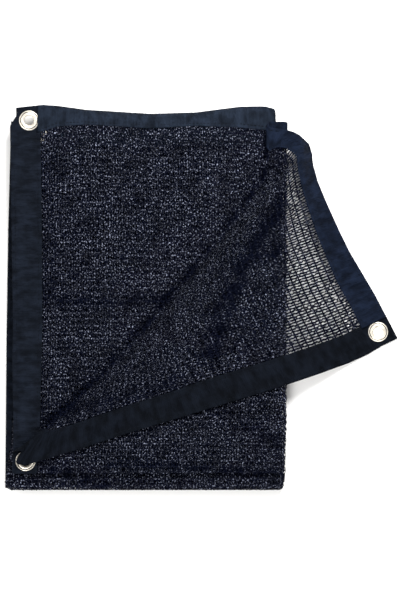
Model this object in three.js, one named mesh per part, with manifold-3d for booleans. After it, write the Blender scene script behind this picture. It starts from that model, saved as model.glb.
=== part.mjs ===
// A knitted shade cloth with taped hems and eyelets, folded into a flat pack.
//
// The cloth is folded in half, which puts its two long hems together at the top, and then
// back and forth into four panels. The top layer's free corner is turned back over a
// diagonal fold, and its tip lies beside the pack.
//
// Millimetres, +Z up. On the flat cloth, u runs along the long side from the hem that shows
// and v along the short side from the back layer's hem to the front layer's. In the pack, x
// runs to the right and y towards the long hems, both from the pack's lower left corner.

import * as THREE from 'three';
import Module from 'manifold-3d';

const wasm = await Module();
wasm.setup();

// Flat cloth
const BACK_PLY = 438;
const FRONT_PLY = 472;
const CLOTH_WIDTH = BACK_PLY + FRONT_PLY;
const TAPE_WIDTH = 32;
const KNIT_THICK = 1.2;
const TAPE_THICK = 1.6;
const SEAM_GAP = 0.6;

// Pack
const LAYER_STEP = 3;
const FOLD_RADIUS = LAYER_STEP / 2;
const PANEL_RADIUS = LAYER_STEP;
const PANEL_TURN = Math.PI * PANEL_RADIUS;
const PANEL_LENGTHS = [342, 342, 322, 322];
const TURN_STEPS = 4;
const LOWEST_LAYER = KNIT_THICK / 2;
const HEM_LIFT = 0.7;
const HEM_LIFT_FADE = 30;
const TOP_LEVEL = 2 * PANEL_LENGTHS.length - 1;

// Where each panel's corners lie: y at its start and end, for the back layer's hem, the
// bottom fold and the front layer's hem
const PANELS = [
  { backStart: 432, foldStart: 21.6, frontStart: 445, backEnd: 432, foldEnd: 22, frontEnd: 443 },
  { backStart: 447, foldStart: 1.6, frontStart: 441, backEnd: 446, foldEnd: 0.8, frontEnd: 443 },
  { backStart: 446, foldStart: 0.6, frontStart: 444, backEnd: 444, foldEnd: 0.6, frontEnd: 440 },
  { backStart: 444, foldStart: 0.8, frontStart: 441, backEnd: 446, foldEnd: 3.6, frontEnd: 445 },
];

// How far each hem or panel fold reaches in x, by its place along the short side
const REACH_AT = [0, 130, 260, 380, BACK_PLY, 500, 640, 780, CLOTH_WIDTH];
const REACH = [
  { name: 'left hem', x: [19.2, 21.5, 22, 18.5, 14.4, 16, 17, 18, 19] },
  { name: 'right fold', x: [333, 335, 337, 340, 342, 343.5, 344, 344.4, 344.4] },
  { name: 'left fold', x: [26.4, 23.5, 21, 13, 4.4, 12, 21, 24, 27] },
  { name: 'right fold below', x: [334, 335, 337, 340, 341, 340, 338, 337, 339] },
  { name: 'end hem', x: [12.6, 9.2, 7.2, 6.2, 5.6, 7, 10, 12, 14] },
];
const LEFT_CORNER_RADIUS = 10;
const RIGHT_CORNER_RADIUS = 6;

// Along the back layer's top hem: its outer edge, its inner edge and how far it hangs down
const TOP_HEM = [
  { x: 16, edge: 459.6, inner: 427.6, drop: 0 },
  { x: 52, edge: 463.4, inner: 431.4, drop: 0 },
  { x: 68, edge: 462, inner: 437, drop: 6 },
  { x: 102, edge: 457.2, inner: 439.5, drop: 10 },
  { x: 180, edge: 452.4, inner: 435, drop: 12 },
  { x: 235, edge: 454, inner: 438, drop: 11 },
  { x: 288, edge: 460.8, inner: 436, drop: 8 },
  { x: 318, edge: 461.4, inner: 433, drop: 4 },
  { x: 332, edge: 458, inner: 430, drop: 1 },
];

// The diagonal fold, on the flat cloth: it runs from the short hem to the long one and bows
// away from the corner that it turns back
const CREASE_START = { u: 0, v: BACK_PLY + 22 };
const CREASE_END = { u: 312, v: CLOTH_WIDTH };
const CREASE_RADIUS = 4.5;
const CREASE_BOW = [
  { at: 0, out: 0 },
  { at: 0.04, out: 7.5 },
  { at: 0.09, out: 13 },
  { at: 0.15, out: 19 },
  { at: 0.22, out: 27 },
  { at: 0.33, out: 36 },
  { at: 0.45, out: 42 },
  { at: 0.6, out: 47 },
  { at: 0.78, out: 49 },
  { at: 0.89, out: 43 },
  { at: 0.945, out: 25 },
  { at: 1, out: 4 },
];
const CREASE_HALF_TURN = (Math.PI * CREASE_RADIUS) / 2;

// How far past the fold the turned cloth still follows its bow, and how far its ridge fades
const CREASE_PULL = [
  { at: 0, reach: 25 },
  { at: 0.1, reach: 45 },
  { at: 0.35, reach: 150 },
  { at: 0.8, reach: 150 },
  { at: 0.92, reach: 60 },
  { at: 1, reach: 30 },
];
const CREASE_RIDGE_RUN = 55;

// The turned corner: its tip, the ends of its two hems, and how far they bow outwards
const TIP = { x: 478, y: 183 };
const SHORT_HEM_END = { x: -3, y: 41 };
const LONG_HEM_END = { x: 333, y: 444 };
const SHORT_HEM_BOW = [
  { at: 0, out: 0 },
  { at: 0.04, out: 3.4 },
  { at: 0.08, out: 8.6 },
  { at: 0.125, out: 11.8 },
  { at: 0.2, out: 13.9 },
  { at: 0.3, out: 15.6 },
  { at: 0.53, out: 16.2 },
  { at: 0.66, out: 13.8 },
  { at: 0.8, out: 14.6 },
  { at: 0.93, out: 17.5 },
  { at: 1, out: 17.5 },
];
const LONG_HEM_BOW = [
  { at: 0, out: 0 },
  { at: 0.2, out: 1.6 },
  { at: 0.4, out: 0 },
  { at: 0.5, out: 1.4 },
  { at: 0.63, out: 4.6 },
  { at: 0.71, out: 7.4 },
  { at: 0.775, out: 12.2 },
  { at: 0.82, out: 18 },
  { at: 0.86, out: 20 },
  { at: 0.91, out: 14.5 },
  { at: 0.95, out: 8 },
  { at: 1, out: 0 },
];
const SHORT_HEM_BOW_FADE = 220;
const LONG_HEM_BOW_FADE = 150;

// Past this x the turned corner hangs off the pack, and lies on the ground after the run
const PACK_EDGE = 347;
const DROOP_RUN = 90;

// Soft rises and troughs across the pack, at full height in the top layers
const CREASES = [
  { name: 'cross fold', x1: 52, y1: 229, x2: 235, y2: 231, width: 12, height: 1.6 },
  { name: 'trough beside it', x1: 22, y1: 212, x2: 240, y2: 216, width: 16, height: -1.2 },
  { name: 'left swell', x1: 60, y1: 330, x2: 150, y2: 395, width: 50, height: 1.4 },
  { name: 'middle hollow', x1: 120, y1: 150, x2: 200, y2: 120, width: 45, height: -1.3 },
  { name: 'lower swell', x1: 140, y1: 40, x2: 300, y2: 55, width: 35, height: 1.2 },
  { name: 'right hollow', x1: 290, y1: 330, x2: 300, y2: 150, width: 40, height: -1.2 },
];
const FLAP_CREASES = [
  { name: 'valley', x1: 344, y1: 355, x2: 264, y2: 205, width: 20, height: -2.2 },
  { name: 'roll', x1: 372, y1: 330, x2: 300, y2: 190, width: 24, height: 2.4 },
  { name: 'hem wave', x1: 150, y1: 95, x2: 190, y2: 125, width: 22, height: 1.5 },
  { name: 'second hem wave', x1: 255, y1: 130, x2: 300, y2: 150, width: 26, height: -1.4 },
];

// Eyelets
const EYELET_INSET = 17;
const EYELET_RADIUS = 12;
const EYELET_BORE = 5.8;
const EYELET_BARREL = 7.4;
const EYELET_HALF_HEIGHT = 1.3;
const EYELET_SIDES = 20;
const HOLE_RADIUS = EYELET_BARREL + 0.4;
const HOLE_SIDES = 20;

const TURN_COUNT = PANEL_LENGTHS.length - 1;
const CLOTH_LENGTH = PANEL_LENGTHS.reduce((sum, length) => sum + length, TURN_COUNT * PANEL_TURN);
const BOTTOM_TURN = Math.PI * FOLD_RADIUS;
const BACK_FLAT = BACK_PLY - BOTTOM_TURN / 2;
const FRONT_FLAT = BACK_PLY + BOTTOM_TURN / 2;

const mix = (a, b, t) => a + (b - a) * t;
const clamp01 = (t) => Math.min(1, Math.max(0, t));
const smooth = (t) => clamp01(t) ** 2 * (3 - 2 * clamp01(t));

// The value of one column of a table at a place between its rows
function lookUp(rows, column, place, at) {
  let next = rows.findIndex((row) => row[column] >= at);
  if (next < 0) next = rows.length - 1;
  if (next === 0) return rows[0][place];
  const [low, high] = [rows[next - 1], rows[next]];
  return mix(low[place], high[place], clamp01((at - low[column]) / (high[column] - low[column])));
}

const reachTables = REACH.map((row) => row.x.map((x, index) => ({ v: REACH_AT[index], x })));
const reach = (index, v) => lookUp(reachTables[index], 'v', 'x', v);

// How far the layer at v lies from the middle of its double layer, along the pack's normal
function plyOffset(v) {
  if (v <= BACK_FLAT) return -FOLD_RADIUS;
  if (v >= FRONT_FLAT) return FOLD_RADIUS;
  return -FOLD_RADIUS * Math.cos((v - BACK_FLAT) / FOLD_RADIUS);
}

// y at v on a section of the folded cloth, from its two top ends and its bottom fold
function plyY(v, backTop, fold, frontTop) {
  const centre = fold + FOLD_RADIUS;
  if (v <= BACK_FLAT) return mix(backTop, centre, v / BACK_FLAT);
  if (v >= FRONT_FLAT) return mix(centre, frontTop, (v - FRONT_FLAT) / (CLOTH_WIDTH - FRONT_FLAT));
  return centre - FOLD_RADIUS * Math.sin((v - BACK_FLAT) / FOLD_RADIUS);
}

// y and drop on the back layer of the top panel, whose hem rolls over the pack's back edge
function topPanelBack(x, v, fold) {
  const edge = lookUp(TOP_HEM, 'x', 'edge', x);
  const inner = lookUp(TOP_HEM, 'x', 'inner', x);
  const drop = lookUp(TOP_HEM, 'x', 'drop', x);
  if (v >= TAPE_WIDTH) {
    const centre = fold + FOLD_RADIUS;
    return { y: mix(inner, centre, (v - TAPE_WIDTH) / (BACK_FLAT - TAPE_WIDTH)), drop: 0 };
  }
  const out = 1 - v / TAPE_WIDTH;
  return { y: mix(inner, edge, 1 - (1 - out) ** (1 + drop / 16)), drop: drop * out ** 2.4 };
}

// Each panel's straight stretch of u, and the turn that follows it
const stretches = PANEL_LENGTHS.map((length, index) => {
  const before = PANEL_LENGTHS.slice(0, index).reduce((sum, panel) => sum + panel, 0);
  const start = before + index * PANEL_TURN;
  return { start, end: start + length };
});

const panelLevel = (index) => TOP_LEVEL - 0.5 - 2 * index;

// x of the axis that both layers turn about at the end of a panel
function turnCentre(boundary, v, inset) {
  const side = boundary % 2 === 1 ? 1 : -1;
  return reach(boundary, v) - side * (PANEL_RADIUS + FOLD_RADIUS + inset);
}

function panelEdgeX(boundary, v, insetAt) {
  if (boundary === 0 || boundary === PANEL_LENGTHS.length) return reach(boundary, v);
  return turnCentre(boundary, v, insetAt);
}

// A rounded corner's inset at a height over the bottom fold
function cornerInset(boundary, height) {
  const radius = boundary % 2 === 1 ? RIGHT_CORNER_RADIUS : LEFT_CORNER_RADIUS;
  const above = Math.min(radius, Math.max(0, height));
  return radius - Math.sqrt(radius ** 2 - (radius - above) ** 2);
}

// The cloth folded in half and into panels, before its corner is turned back
function packPoint(u, v) {
  const offset = plyOffset(v);
  const panel = Math.max(0, stretches.findLastIndex((stretch) => u >= stretch.start - 1e-9));
  const { start, end } = stretches[panel];
  const row = PANELS[panel];
  const along = clamp01((u - start) / (end - start));
  const middle = LOWEST_LAYER + LAYER_STEP * panelLevel(panel);
  const normal = panel % 2 === 0 ? 1 : -1;
  const yStart = plyY(v, row.backStart, row.foldStart, row.frontStart);
  const yEnd = plyY(v, row.backEnd, row.foldEnd, row.frontEnd);
  const insetStart = cornerInset(panel, yStart - row.foldStart);
  const insetEnd = cornerInset(panel + 1, yEnd - row.foldEnd);
  if (u <= end + 1e-9) {
    const x = mix(panelEdgeX(panel, v, insetStart), panelEdgeX(panel + 1, v, insetEnd), along);
    const z = middle + normal * offset;
    if (panel === 0 && v < BACK_FLAT) {
      const back = topPanelBack(x, v, mix(row.foldStart, row.foldEnd, along));
      return { x, y: back.y, z: z - back.drop };
    }
    return { x, y: mix(yStart, yEnd, along), z };
  }
  const turn = (u - end) / PANEL_TURN;
  const angle = Math.PI * turn;
  const next = PANELS[panel + 1];
  const side = panel % 2 === 0 ? 1 : -1;
  const radius = PANEL_RADIUS + side * offset;
  const yNext = plyY(v, next.backStart, next.foldStart, next.frontStart);
  const yLast = panel === 0 && v < BACK_FLAT
    ? topPanelBack(turnCentre(1, v, insetEnd), v, row.foldEnd)
    : { y: yEnd, drop: 0 };
  return {
    x: turnCentre(panel + 1, v, insetEnd) + side * radius * Math.sin(angle),
    y: mix(yLast.y, yNext, smooth(turn)),
    z: middle - PANEL_RADIUS + radius * Math.cos(angle) - yLast.drop * (1 - smooth(turn)),
  };
}

// The diagonal fold's own frame on the flat cloth: at runs along it and out across it
const creaseRun = new THREE.Vector2(CREASE_END.u - CREASE_START.u, CREASE_END.v - CREASE_START.v);
const CREASE_LENGTH = creaseRun.length();
creaseRun.normalize();
const creaseBow = (at) => lookUp(CREASE_BOW, 'at', 'out', at);

// Distance past the diagonal fold's middle, positive on the corner that is turned back
function creasePlace(u, v) {
  const [du, dv] = [u - CREASE_START.u, v - CREASE_START.v];
  const at = (du * creaseRun.x + dv * creaseRun.y) / CREASE_LENGTH;
  const out = du * creaseRun.y - dv * creaseRun.x;
  return { at, past: creaseBow(at) - CREASE_HALF_TURN - out };
}

const isTopFront = (u, v) => u <= PANEL_LENGTHS[0] && v >= FRONT_FLAT;
const pastCrease = (u, v) => (isTopFront(u, v) ? creasePlace(u, v).past : -Infinity);

function onFlatCloth(at, past) {
  const out = creaseBow(at) - CREASE_HALF_TURN - past;
  return {
    u: CREASE_START.u + creaseRun.x * at * CREASE_LENGTH + creaseRun.y * out,
    v: CREASE_START.v + creaseRun.y * at * CREASE_LENGTH - creaseRun.x * out,
  };
}

// A hem of the turned corner, from the tip: its direction, length and outward side
function hemLine(end, outwardX, outwardY) {
  const direction = new THREE.Vector2(end.x - TIP.x, end.y - TIP.y);
  const length = direction.length();
  direction.normalize();
  const outward = new THREE.Vector2(direction.y, -direction.x);
  if (outward.x * outwardX + outward.y * outwardY < 0) outward.negate();
  return { direction, length, outward };
}

const shortHem = hemLine(SHORT_HEM_END, 0, -1);
const longHem = hemLine(LONG_HEM_END, 1, 0);

// The tapes keep their width where the cloth is turned back, and the knit takes up the rest
function stretchPast(tape, distance, flatLength, length) {
  if (distance <= tape) return distance;
  return mix(tape, length, (distance - tape) / (flatLength - tape));
}

// Distances from the tip along the turned corner's two hems
const alongShort = (v) => stretchPast(
  TAPE_WIDTH, CLOTH_WIDTH - v, CLOTH_WIDTH - CREASE_START.v, shortHem.length);
const alongLong = (u) => stretchPast(TAPE_WIDTH, u, CREASE_END.u, longHem.length);

// The turned corner laid out from its two hems, whose bows are gone further in
function hemPoint(u, v) {
  const shortBow = lookUp(SHORT_HEM_BOW, 'at', 'out', alongShort(v) / shortHem.length)
    * Math.max(0, 1 - u / SHORT_HEM_BOW_FADE) ** 1.5;
  const longBow = lookUp(LONG_HEM_BOW, 'at', 'out', alongLong(u) / longHem.length)
    * Math.max(0, 1 - (CLOTH_WIDTH - v) / LONG_HEM_BOW_FADE) ** 1.5;
  return new THREE.Vector2(TIP.x, TIP.y)
    .addScaledVector(shortHem.direction, alongShort(v))
    .addScaledVector(longHem.direction, alongLong(u))
    .addScaledVector(shortHem.outward, shortBow)
    .addScaledVector(longHem.outward, longBow);
}

// Rises and troughs at a place, from a table of soft lines
function relief(lines, x, y) {
  let height = 0;
  for (const line of lines) {
    const [dx, dy] = [line.x2 - line.x1, line.y2 - line.y1];
    const t = clamp01(((x - line.x1) * dx + (y - line.y1) * dy) / (dx * dx + dy * dy));
    const distance = Math.hypot(x - line.x1 - dx * t, y - line.y1 - dy * t);
    height += line.height * Math.exp(-((distance / line.width) ** 2));
  }
  return height;
}

const hemLift = (u, v) => {
  const inside = Math.min(u, CLOTH_LENGTH - u, v, CLOTH_WIDTH - v) - TAPE_WIDTH;
  return HEM_LIFT * (1 - smooth(inside / HEM_LIFT_FADE));
};

// A point of the cloth's middle surface in the pack
function clothPoint(u, v) {
  const past = pastCrease(u, v);
  const topLevelZ = LOWEST_LAYER + LAYER_STEP * TOP_LEVEL;
  if (past < -CREASE_HALF_TURN) {
    const { x, y, z } = packPoint(u, v);
    const level = (z - LOWEST_LAYER) / LAYER_STEP / TOP_LEVEL;
    return new THREE.Vector3(x, y, z + hemLift(u, v) + level * relief(CREASES, x, y));
  }
  const { at } = creasePlace(u, v);
  const axisOnCloth = onFlatCloth(at, -CREASE_HALF_TURN);
  const axis = packPoint(axisOnCloth.u, Math.max(axisOnCloth.v, FRONT_FLAT));
  if (past < CREASE_HALF_TURN) {
    const angle = past / CREASE_RADIUS;
    const reachOut = CREASE_RADIUS * Math.cos(angle);
    const x = axis.x - creaseRun.y * reachOut;
    const y = axis.y + creaseRun.x * reachOut;
    const rise = CREASE_RADIUS * (1 + Math.sin(angle));
    return new THREE.Vector3(x, y, topLevelZ + rise + hemLift(u, v) + relief(CREASES, x, y));
  }
  const beyond = past - CREASE_HALF_TURN;
  const place = hemPoint(u, v);
  const turned = onFlatCloth(at, CREASE_HALF_TURN);
  const turnedPlace = hemPoint(Math.max(turned.u, 0), Math.min(turned.v, CLOTH_WIDTH));
  const pull = Math.max(0, 1 - beyond / lookUp(CREASE_PULL, 'at', 'reach', at)) ** 2;
  const x = place.x + (axis.x - turnedPlace.x) * pull;
  const y = place.y + (axis.y - turnedPlace.y) * pull;
  const ridge = (2 * CREASE_RADIUS - LAYER_STEP) * (1 - smooth(beyond / CREASE_RIDGE_RUN));
  const overPack = topLevelZ + LAYER_STEP + ridge + relief(CREASES, x, y) + relief(FLAP_CREASES, x, y);
  const z = mix(overPack, LOWEST_LAYER, smooth((x - PACK_EDGE) / DROOP_RUN));
  return new THREE.Vector3(x, y, z + hemLift(u, v));
}

// The cloth's normal in the pack, from its slopes along and across
const SLOPE_STEP = 0.4;

function clothNormal(u, v) {
  const along = clothPoint(Math.min(u + SLOPE_STEP, CLOTH_LENGTH), v)
    .sub(clothPoint(Math.max(u - SLOPE_STEP, 0), v));
  const across = clothPoint(u, Math.min(v + SLOPE_STEP, CLOTH_WIDTH))
    .sub(clothPoint(u, Math.max(v - SLOPE_STEP, 0)));
  return along.cross(across).normalize();
}

// A sheet of cells on the flat cloth, cut along the diagonal fold, that is laid in the pack
// and given its thickness
const CREASE_CUTS = Array.from({ length: TURN_STEPS + 1 },
  (_, step) => CREASE_HALF_TURN * (-1 + (2 * step) / TURN_STEPS));

class ClothMesh {
  constructor(us, vs) {
    this.nodes = us.flatMap((u) => vs.map((v) => ({ u, v })));
    this.cells = [];
    this.cuts = new Map();
    for (let i = 0; i + 1 < us.length; i += 1) {
      for (let j = 0; j + 1 < vs.length; j += 1) {
        const first = i * vs.length + j;
        this.cells.push([first, first + vs.length, first + vs.length + 1, first + 1]);
      }
    }
    for (const cut of CREASE_CUTS) this.cutAlong(cut);
  }

  // The node where the edge between two nodes crosses a line beside the diagonal fold
  crossing(a, b, cut) {
    const key = `${Math.min(a, b)}:${Math.max(a, b)}:${cut}`;
    if (!this.cuts.has(key)) {
      const [p, q] = [this.nodes[Math.min(a, b)], this.nodes[Math.max(a, b)]];
      let [low, high] = [0, 1];
      const lowSide = this.past(p) < cut;
      for (let step = 0; step < 30; step += 1) {
        const t = (low + high) / 2;
        const node = { u: mix(p.u, q.u, t), v: mix(p.v, q.v, t) };
        if ((this.past(node) < cut) === lowSide) low = t;
        else high = t;
      }
      this.nodes.push({ u: mix(p.u, q.u, low), v: mix(p.v, q.v, low) });
      this.cuts.set(key, this.nodes.length - 1);
    }
    return this.cuts.get(key);
  }

  past(node) {
    return pastCrease(node.u, node.v);
  }

  cutAlong(cut) {
    const pieces = [];
    for (const cell of this.cells) {
      const sides = cell.map((index) => this.past(this.nodes[index]) < cut);
      const changes = sides.filter((side, k) => side !== sides[(k + 1) % cell.length]).length;
      if (changes !== 2 || cell.some((index) => this.past(this.nodes[index]) === -Infinity)) {
        pieces.push(cell);
        continue;
      }
      const parts = [[], []];
      cell.forEach((index, k) => {
        const nextIndex = cell[(k + 1) % cell.length];
        const nextSide = sides[(k + 1) % cell.length];
        parts[Number(sides[k])].push(index);
        if (sides[k] !== nextSide) {
          const node = this.crossing(index, nextIndex, cut);
          parts[0].push(node);
          parts[1].push(node);
        }
      });
      pieces.push(...parts.filter((part) => part.length > 2));
    }
    this.cells = pieces;
  }

  // Triangles of each cell, from the corner whose fan has the shortest longest spoke
  triangles() {
    const list = [];
    for (const cell of this.cells) {
      const spokes = cell.map((index, k) => Math.max(...cell.map((other, m) => {
        const apart = (m - k + cell.length) % cell.length;
        if (apart < 2 || apart === cell.length - 1) return 0;
        const [p, q] = [this.nodes[index], this.nodes[other]];
        return Math.hypot(p.u - q.u, p.v - q.v);
      })));
      const hub = spokes.indexOf(Math.min(...spokes));
      for (let k = 1; k + 1 < cell.length; k += 1) {
        list.push([cell[hub], cell[(hub + k) % cell.length], cell[(hub + k + 1) % cell.length]]);
      }
    }
    return list;
  }

  // A closed geometry of this thickness about the laid cloth
  thicken(thickness) {
    const triangles = this.triangles();
    const edges = new Map();
    for (const [a, b, c] of triangles) {
      for (const [p, q] of [[a, b], [b, c], [c, a]]) {
        if (edges.has(`${q}:${p}`)) edges.delete(`${q}:${p}`);
        else edges.set(`${p}:${q}`, [p, q]);
      }
    }
    const count = this.nodes.length;
    const positions = new Float32Array(count * 6);
    this.nodes.forEach(({ u, v }, index) => {
      const point = clothPoint(u, v);
      const half = clothNormal(u, v).multiplyScalar(thickness / 2);
      positions.set([point.x + half.x, point.y + half.y, point.z + half.z], index * 3);
      positions.set([point.x - half.x, point.y - half.y, point.z - half.z], (count + index) * 3);
    });
    const faces = triangles.flatMap(([a, b, c]) => [a, b, c, count + a, count + c, count + b]);
    for (const [p, q] of edges.values()) {
      faces.push(q, p, count + p, q, count + p, count + q);
    }
    return weld(positions, faces);
  }
}

// A geometry with only the vertices that its faces use
function weld(positions, faces) {
  const used = new Map();
  const kept = [];
  const index = faces.map((vertex) => {
    if (!used.has(vertex)) {
      used.set(vertex, used.size);
      kept.push(...positions.slice(vertex * 3, vertex * 3 + 3));
    }
    return used.get(vertex);
  });
  const geometry = new THREE.BufferGeometry();
  geometry.setAttribute('position', new THREE.BufferAttribute(new Float32Array(kept), 3));
  geometry.setIndex(index);
  return geometry;
}

function toManifold(geometry) {
  return new wasm.Manifold(new wasm.Mesh({
    numProp: 3,
    vertProperties: new Float32Array(geometry.attributes.position.array),
    triVerts: new Uint32Array(geometry.index.array),
  }));
}

function fromManifold(solid) {
  const mesh = solid.getMesh();
  return weld(mesh.vertProperties, Array.from(mesh.triVerts));
}

// A ring of profile points turned about the vertical axis, as a closed geometry
function turned(profile, sides) {
  const positions = [];
  const faces = [];
  for (let side = 0; side < sides; side += 1) {
    const angle = (2 * Math.PI * side) / sides;
    for (const [radius, z] of profile) {
      positions.push(radius * Math.cos(angle), radius * Math.sin(angle), z);
    }
  }
  const count = profile.length;
  for (let side = 0; side < sides; side += 1) {
    const [here, next] = [side * count, ((side + 1) % sides) * count];
    for (let k = 0; k < count; k += 1) {
      const l = (k + 1) % count;
      faces.push(here + k, next + k, next + l, here + k, next + l, here + l);
    }
  }
  return weld(positions, faces);
}

// An eyelet's section: two rolled flanges joined by a barrel, with the tape between them
function eyeletGeometry() {
  const tapeGap = TAPE_THICK / 2 + 0.15;
  return turned([
    [EYELET_BORE, -EYELET_HALF_HEIGHT + 0.5],
    [EYELET_BARREL - 0.7, -EYELET_HALF_HEIGHT],
    [EYELET_RADIUS - 0.6, -EYELET_HALF_HEIGHT],
    [EYELET_RADIUS, -tapeGap],
    [EYELET_BARREL, -tapeGap],
    [EYELET_BARREL, tapeGap],
    [EYELET_RADIUS, tapeGap],
    [EYELET_RADIUS - 0.6, EYELET_HALF_HEIGHT],
    [EYELET_BARREL - 0.7, EYELET_HALF_HEIGHT],
    [EYELET_BORE, EYELET_HALF_HEIGHT - 0.5],
  ], EYELET_SIDES);
}

// A solid that clears the tape for an eyelet's barrel
function holeSolid(point) {
  const height = 2 * LAYER_STEP / 3;
  const post = turnedPost(HOLE_RADIUS, height, HOLE_SIDES);
  post.translate(point.x, point.y, point.z);
  return toManifold(post);
}

function turnedPost(radius, halfHeight, sides) {
  const positions = [0, 0, -halfHeight, 0, 0, halfHeight];
  const faces = [];
  for (let side = 0; side < sides; side += 1) {
    const angle = (2 * Math.PI * side) / sides;
    positions.push(radius * Math.cos(angle), radius * Math.sin(angle), -halfHeight);
    positions.push(radius * Math.cos(angle), radius * Math.sin(angle), halfHeight);
  }
  for (let side = 0; side < sides; side += 1) {
    const [low, high] = [2 + 2 * side, 3 + 2 * side];
    const [nextLow, nextHigh] = [2 + 2 * ((side + 1) % sides), 3 + 2 * ((side + 1) % sides)];
    faces.push(low, nextLow, nextHigh, low, nextHigh, high);
    faces.push(0, nextLow, low, 1, high, nextHigh);
  }
  return weld(positions, faces);
}

// Grid lines
const PANEL_CELLS = [10, 6, 5, 5];
const spread = (from, to, cells) => Array.from({ length: cells + 1 }, (_, k) => mix(from, to, k / cells));

function panelLines() {
  const lines = [];
  stretches.forEach(({ start, end }, index) => {
    const from = index === 0 ? TAPE_WIDTH + SEAM_GAP : start;
    const last = index === PANEL_LENGTHS.length - 1;
    const to = last ? CLOTH_LENGTH - TAPE_WIDTH - SEAM_GAP : end;
    lines.push(...spread(from, to, PANEL_CELLS[index]));
    if (!last) lines.push(...spread(end, end + PANEL_TURN, TURN_STEPS).slice(1, -1));
  });
  return lines;
}

const KNIT_U = panelLines();
const KNIT_V = [
  TAPE_WIDTH + SEAM_GAP, 68, 106, 144, 180, 206, 217, 229, 241, 276, 314, 352, 390, 418, 430,
  ...spread(BACK_FLAT, FRONT_FLAT, TURN_STEPS),
  446, 456, 468, 482, 500, 524, 556, 592, 628, 664, 700, 736, 772, 808, 842,
  CLOTH_WIDTH - TAPE_WIDTH - SEAM_GAP,
];
const FULL_V = [0, 10, 21, TAPE_WIDTH, ...KNIT_V, CLOTH_WIDTH - TAPE_WIDTH, CLOTH_WIDTH - 16, CLOTH_WIDTH];

const MATERIALS = {
  knit: { color: 0x14161f, roughness: 0.6, metalness: 0 },
  tape: { color: 0x222936, roughness: 0.85, metalness: 0 },
  metal: { color: 0xc9c7bb, roughness: 0.3, metalness: 0.9 },
};

const MIDDLE_EYELET_U = CLOTH_LENGTH / 2;
const MIDDLE_EYELET_V = CLOTH_WIDTH / 2;
const EYELETS = [
  { name: 'eyelet_back_corner', tape: 'tape_left', u: EYELET_INSET, v: EYELET_INSET },
  { name: 'eyelet_left_middle', tape: 'tape_left', u: EYELET_INSET, v: MIDDLE_EYELET_V },
  { name: 'eyelet_turned_corner', tape: 'tape_left', u: EYELET_INSET, v: CLOTH_WIDTH - EYELET_INSET },
  { name: 'eyelet_back_middle', tape: 'tape_top_back', u: MIDDLE_EYELET_U, v: EYELET_INSET },
  { name: 'eyelet_front_middle', tape: 'tape_top_front', u: MIDDLE_EYELET_U, v: CLOTH_WIDTH - EYELET_INSET },
  { name: 'eyelet_end_back', tape: 'tape_end', u: CLOTH_LENGTH - EYELET_INSET, v: EYELET_INSET },
  { name: 'eyelet_end_middle', tape: 'tape_end', u: CLOTH_LENGTH - EYELET_INSET, v: MIDDLE_EYELET_V },
  { name: 'eyelet_end_front', tape: 'tape_end', u: CLOTH_LENGTH - EYELET_INSET, v: CLOTH_WIDTH - EYELET_INSET },
];

const TAPES = [
  { name: 'tape_left', us: [0, EYELET_INSET, TAPE_WIDTH], vs: FULL_V },
  { name: 'tape_top_back', us: KNIT_U, vs: [0, 10, 21, TAPE_WIDTH] },
  { name: 'tape_top_front', us: KNIT_U, vs: [CLOTH_WIDTH - TAPE_WIDTH, CLOTH_WIDTH - 16, CLOTH_WIDTH] },
  {
    name: 'tape_end',
    us: [CLOTH_LENGTH - TAPE_WIDTH, CLOTH_LENGTH - EYELET_INSET, CLOTH_LENGTH],
    vs: FULL_V,
  },
];

const part = new THREE.Group();
part.name = 'shade_cloth';

function addMesh(name, geometry, finish) {
  const mesh = new THREE.Mesh(geometry, new THREE.MeshStandardMaterial(MATERIALS[finish]));
  mesh.name = name;
  part.add(mesh);
  return mesh;
}

addMesh('knit_panel', new ClothMesh(KNIT_U, KNIT_V).thicken(KNIT_THICK), 'knit');

for (const tape of TAPES) {
  let solid = toManifold(new ClothMesh(tape.us, tape.vs).thicken(TAPE_THICK));
  for (const eyelet of EYELETS.filter(({ tape: name }) => name === tape.name)) {
    solid = solid.subtract(holeSolid(clothPoint(eyelet.u, eyelet.v)));
  }
  addMesh(tape.name, fromManifold(solid), 'tape');
}

for (const eyelet of EYELETS) {
  const mesh = addMesh(eyelet.name, eyeletGeometry(), 'metal');
  mesh.position.copy(clothPoint(eyelet.u, eyelet.v));
}

// The origin goes to the middle of the pack's footprint, on the ground
const bounds = new THREE.Box3().setFromObject(part);
part.position.set(-(bounds.min.x + bounds.max.x) / 2, -(bounds.min.y + bounds.max.y) / 2, -bounds.min.z);

export default part;
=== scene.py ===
"""A knitted shade cloth with taped hems and eyelets, folded into a flat pack."""

import math

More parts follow.
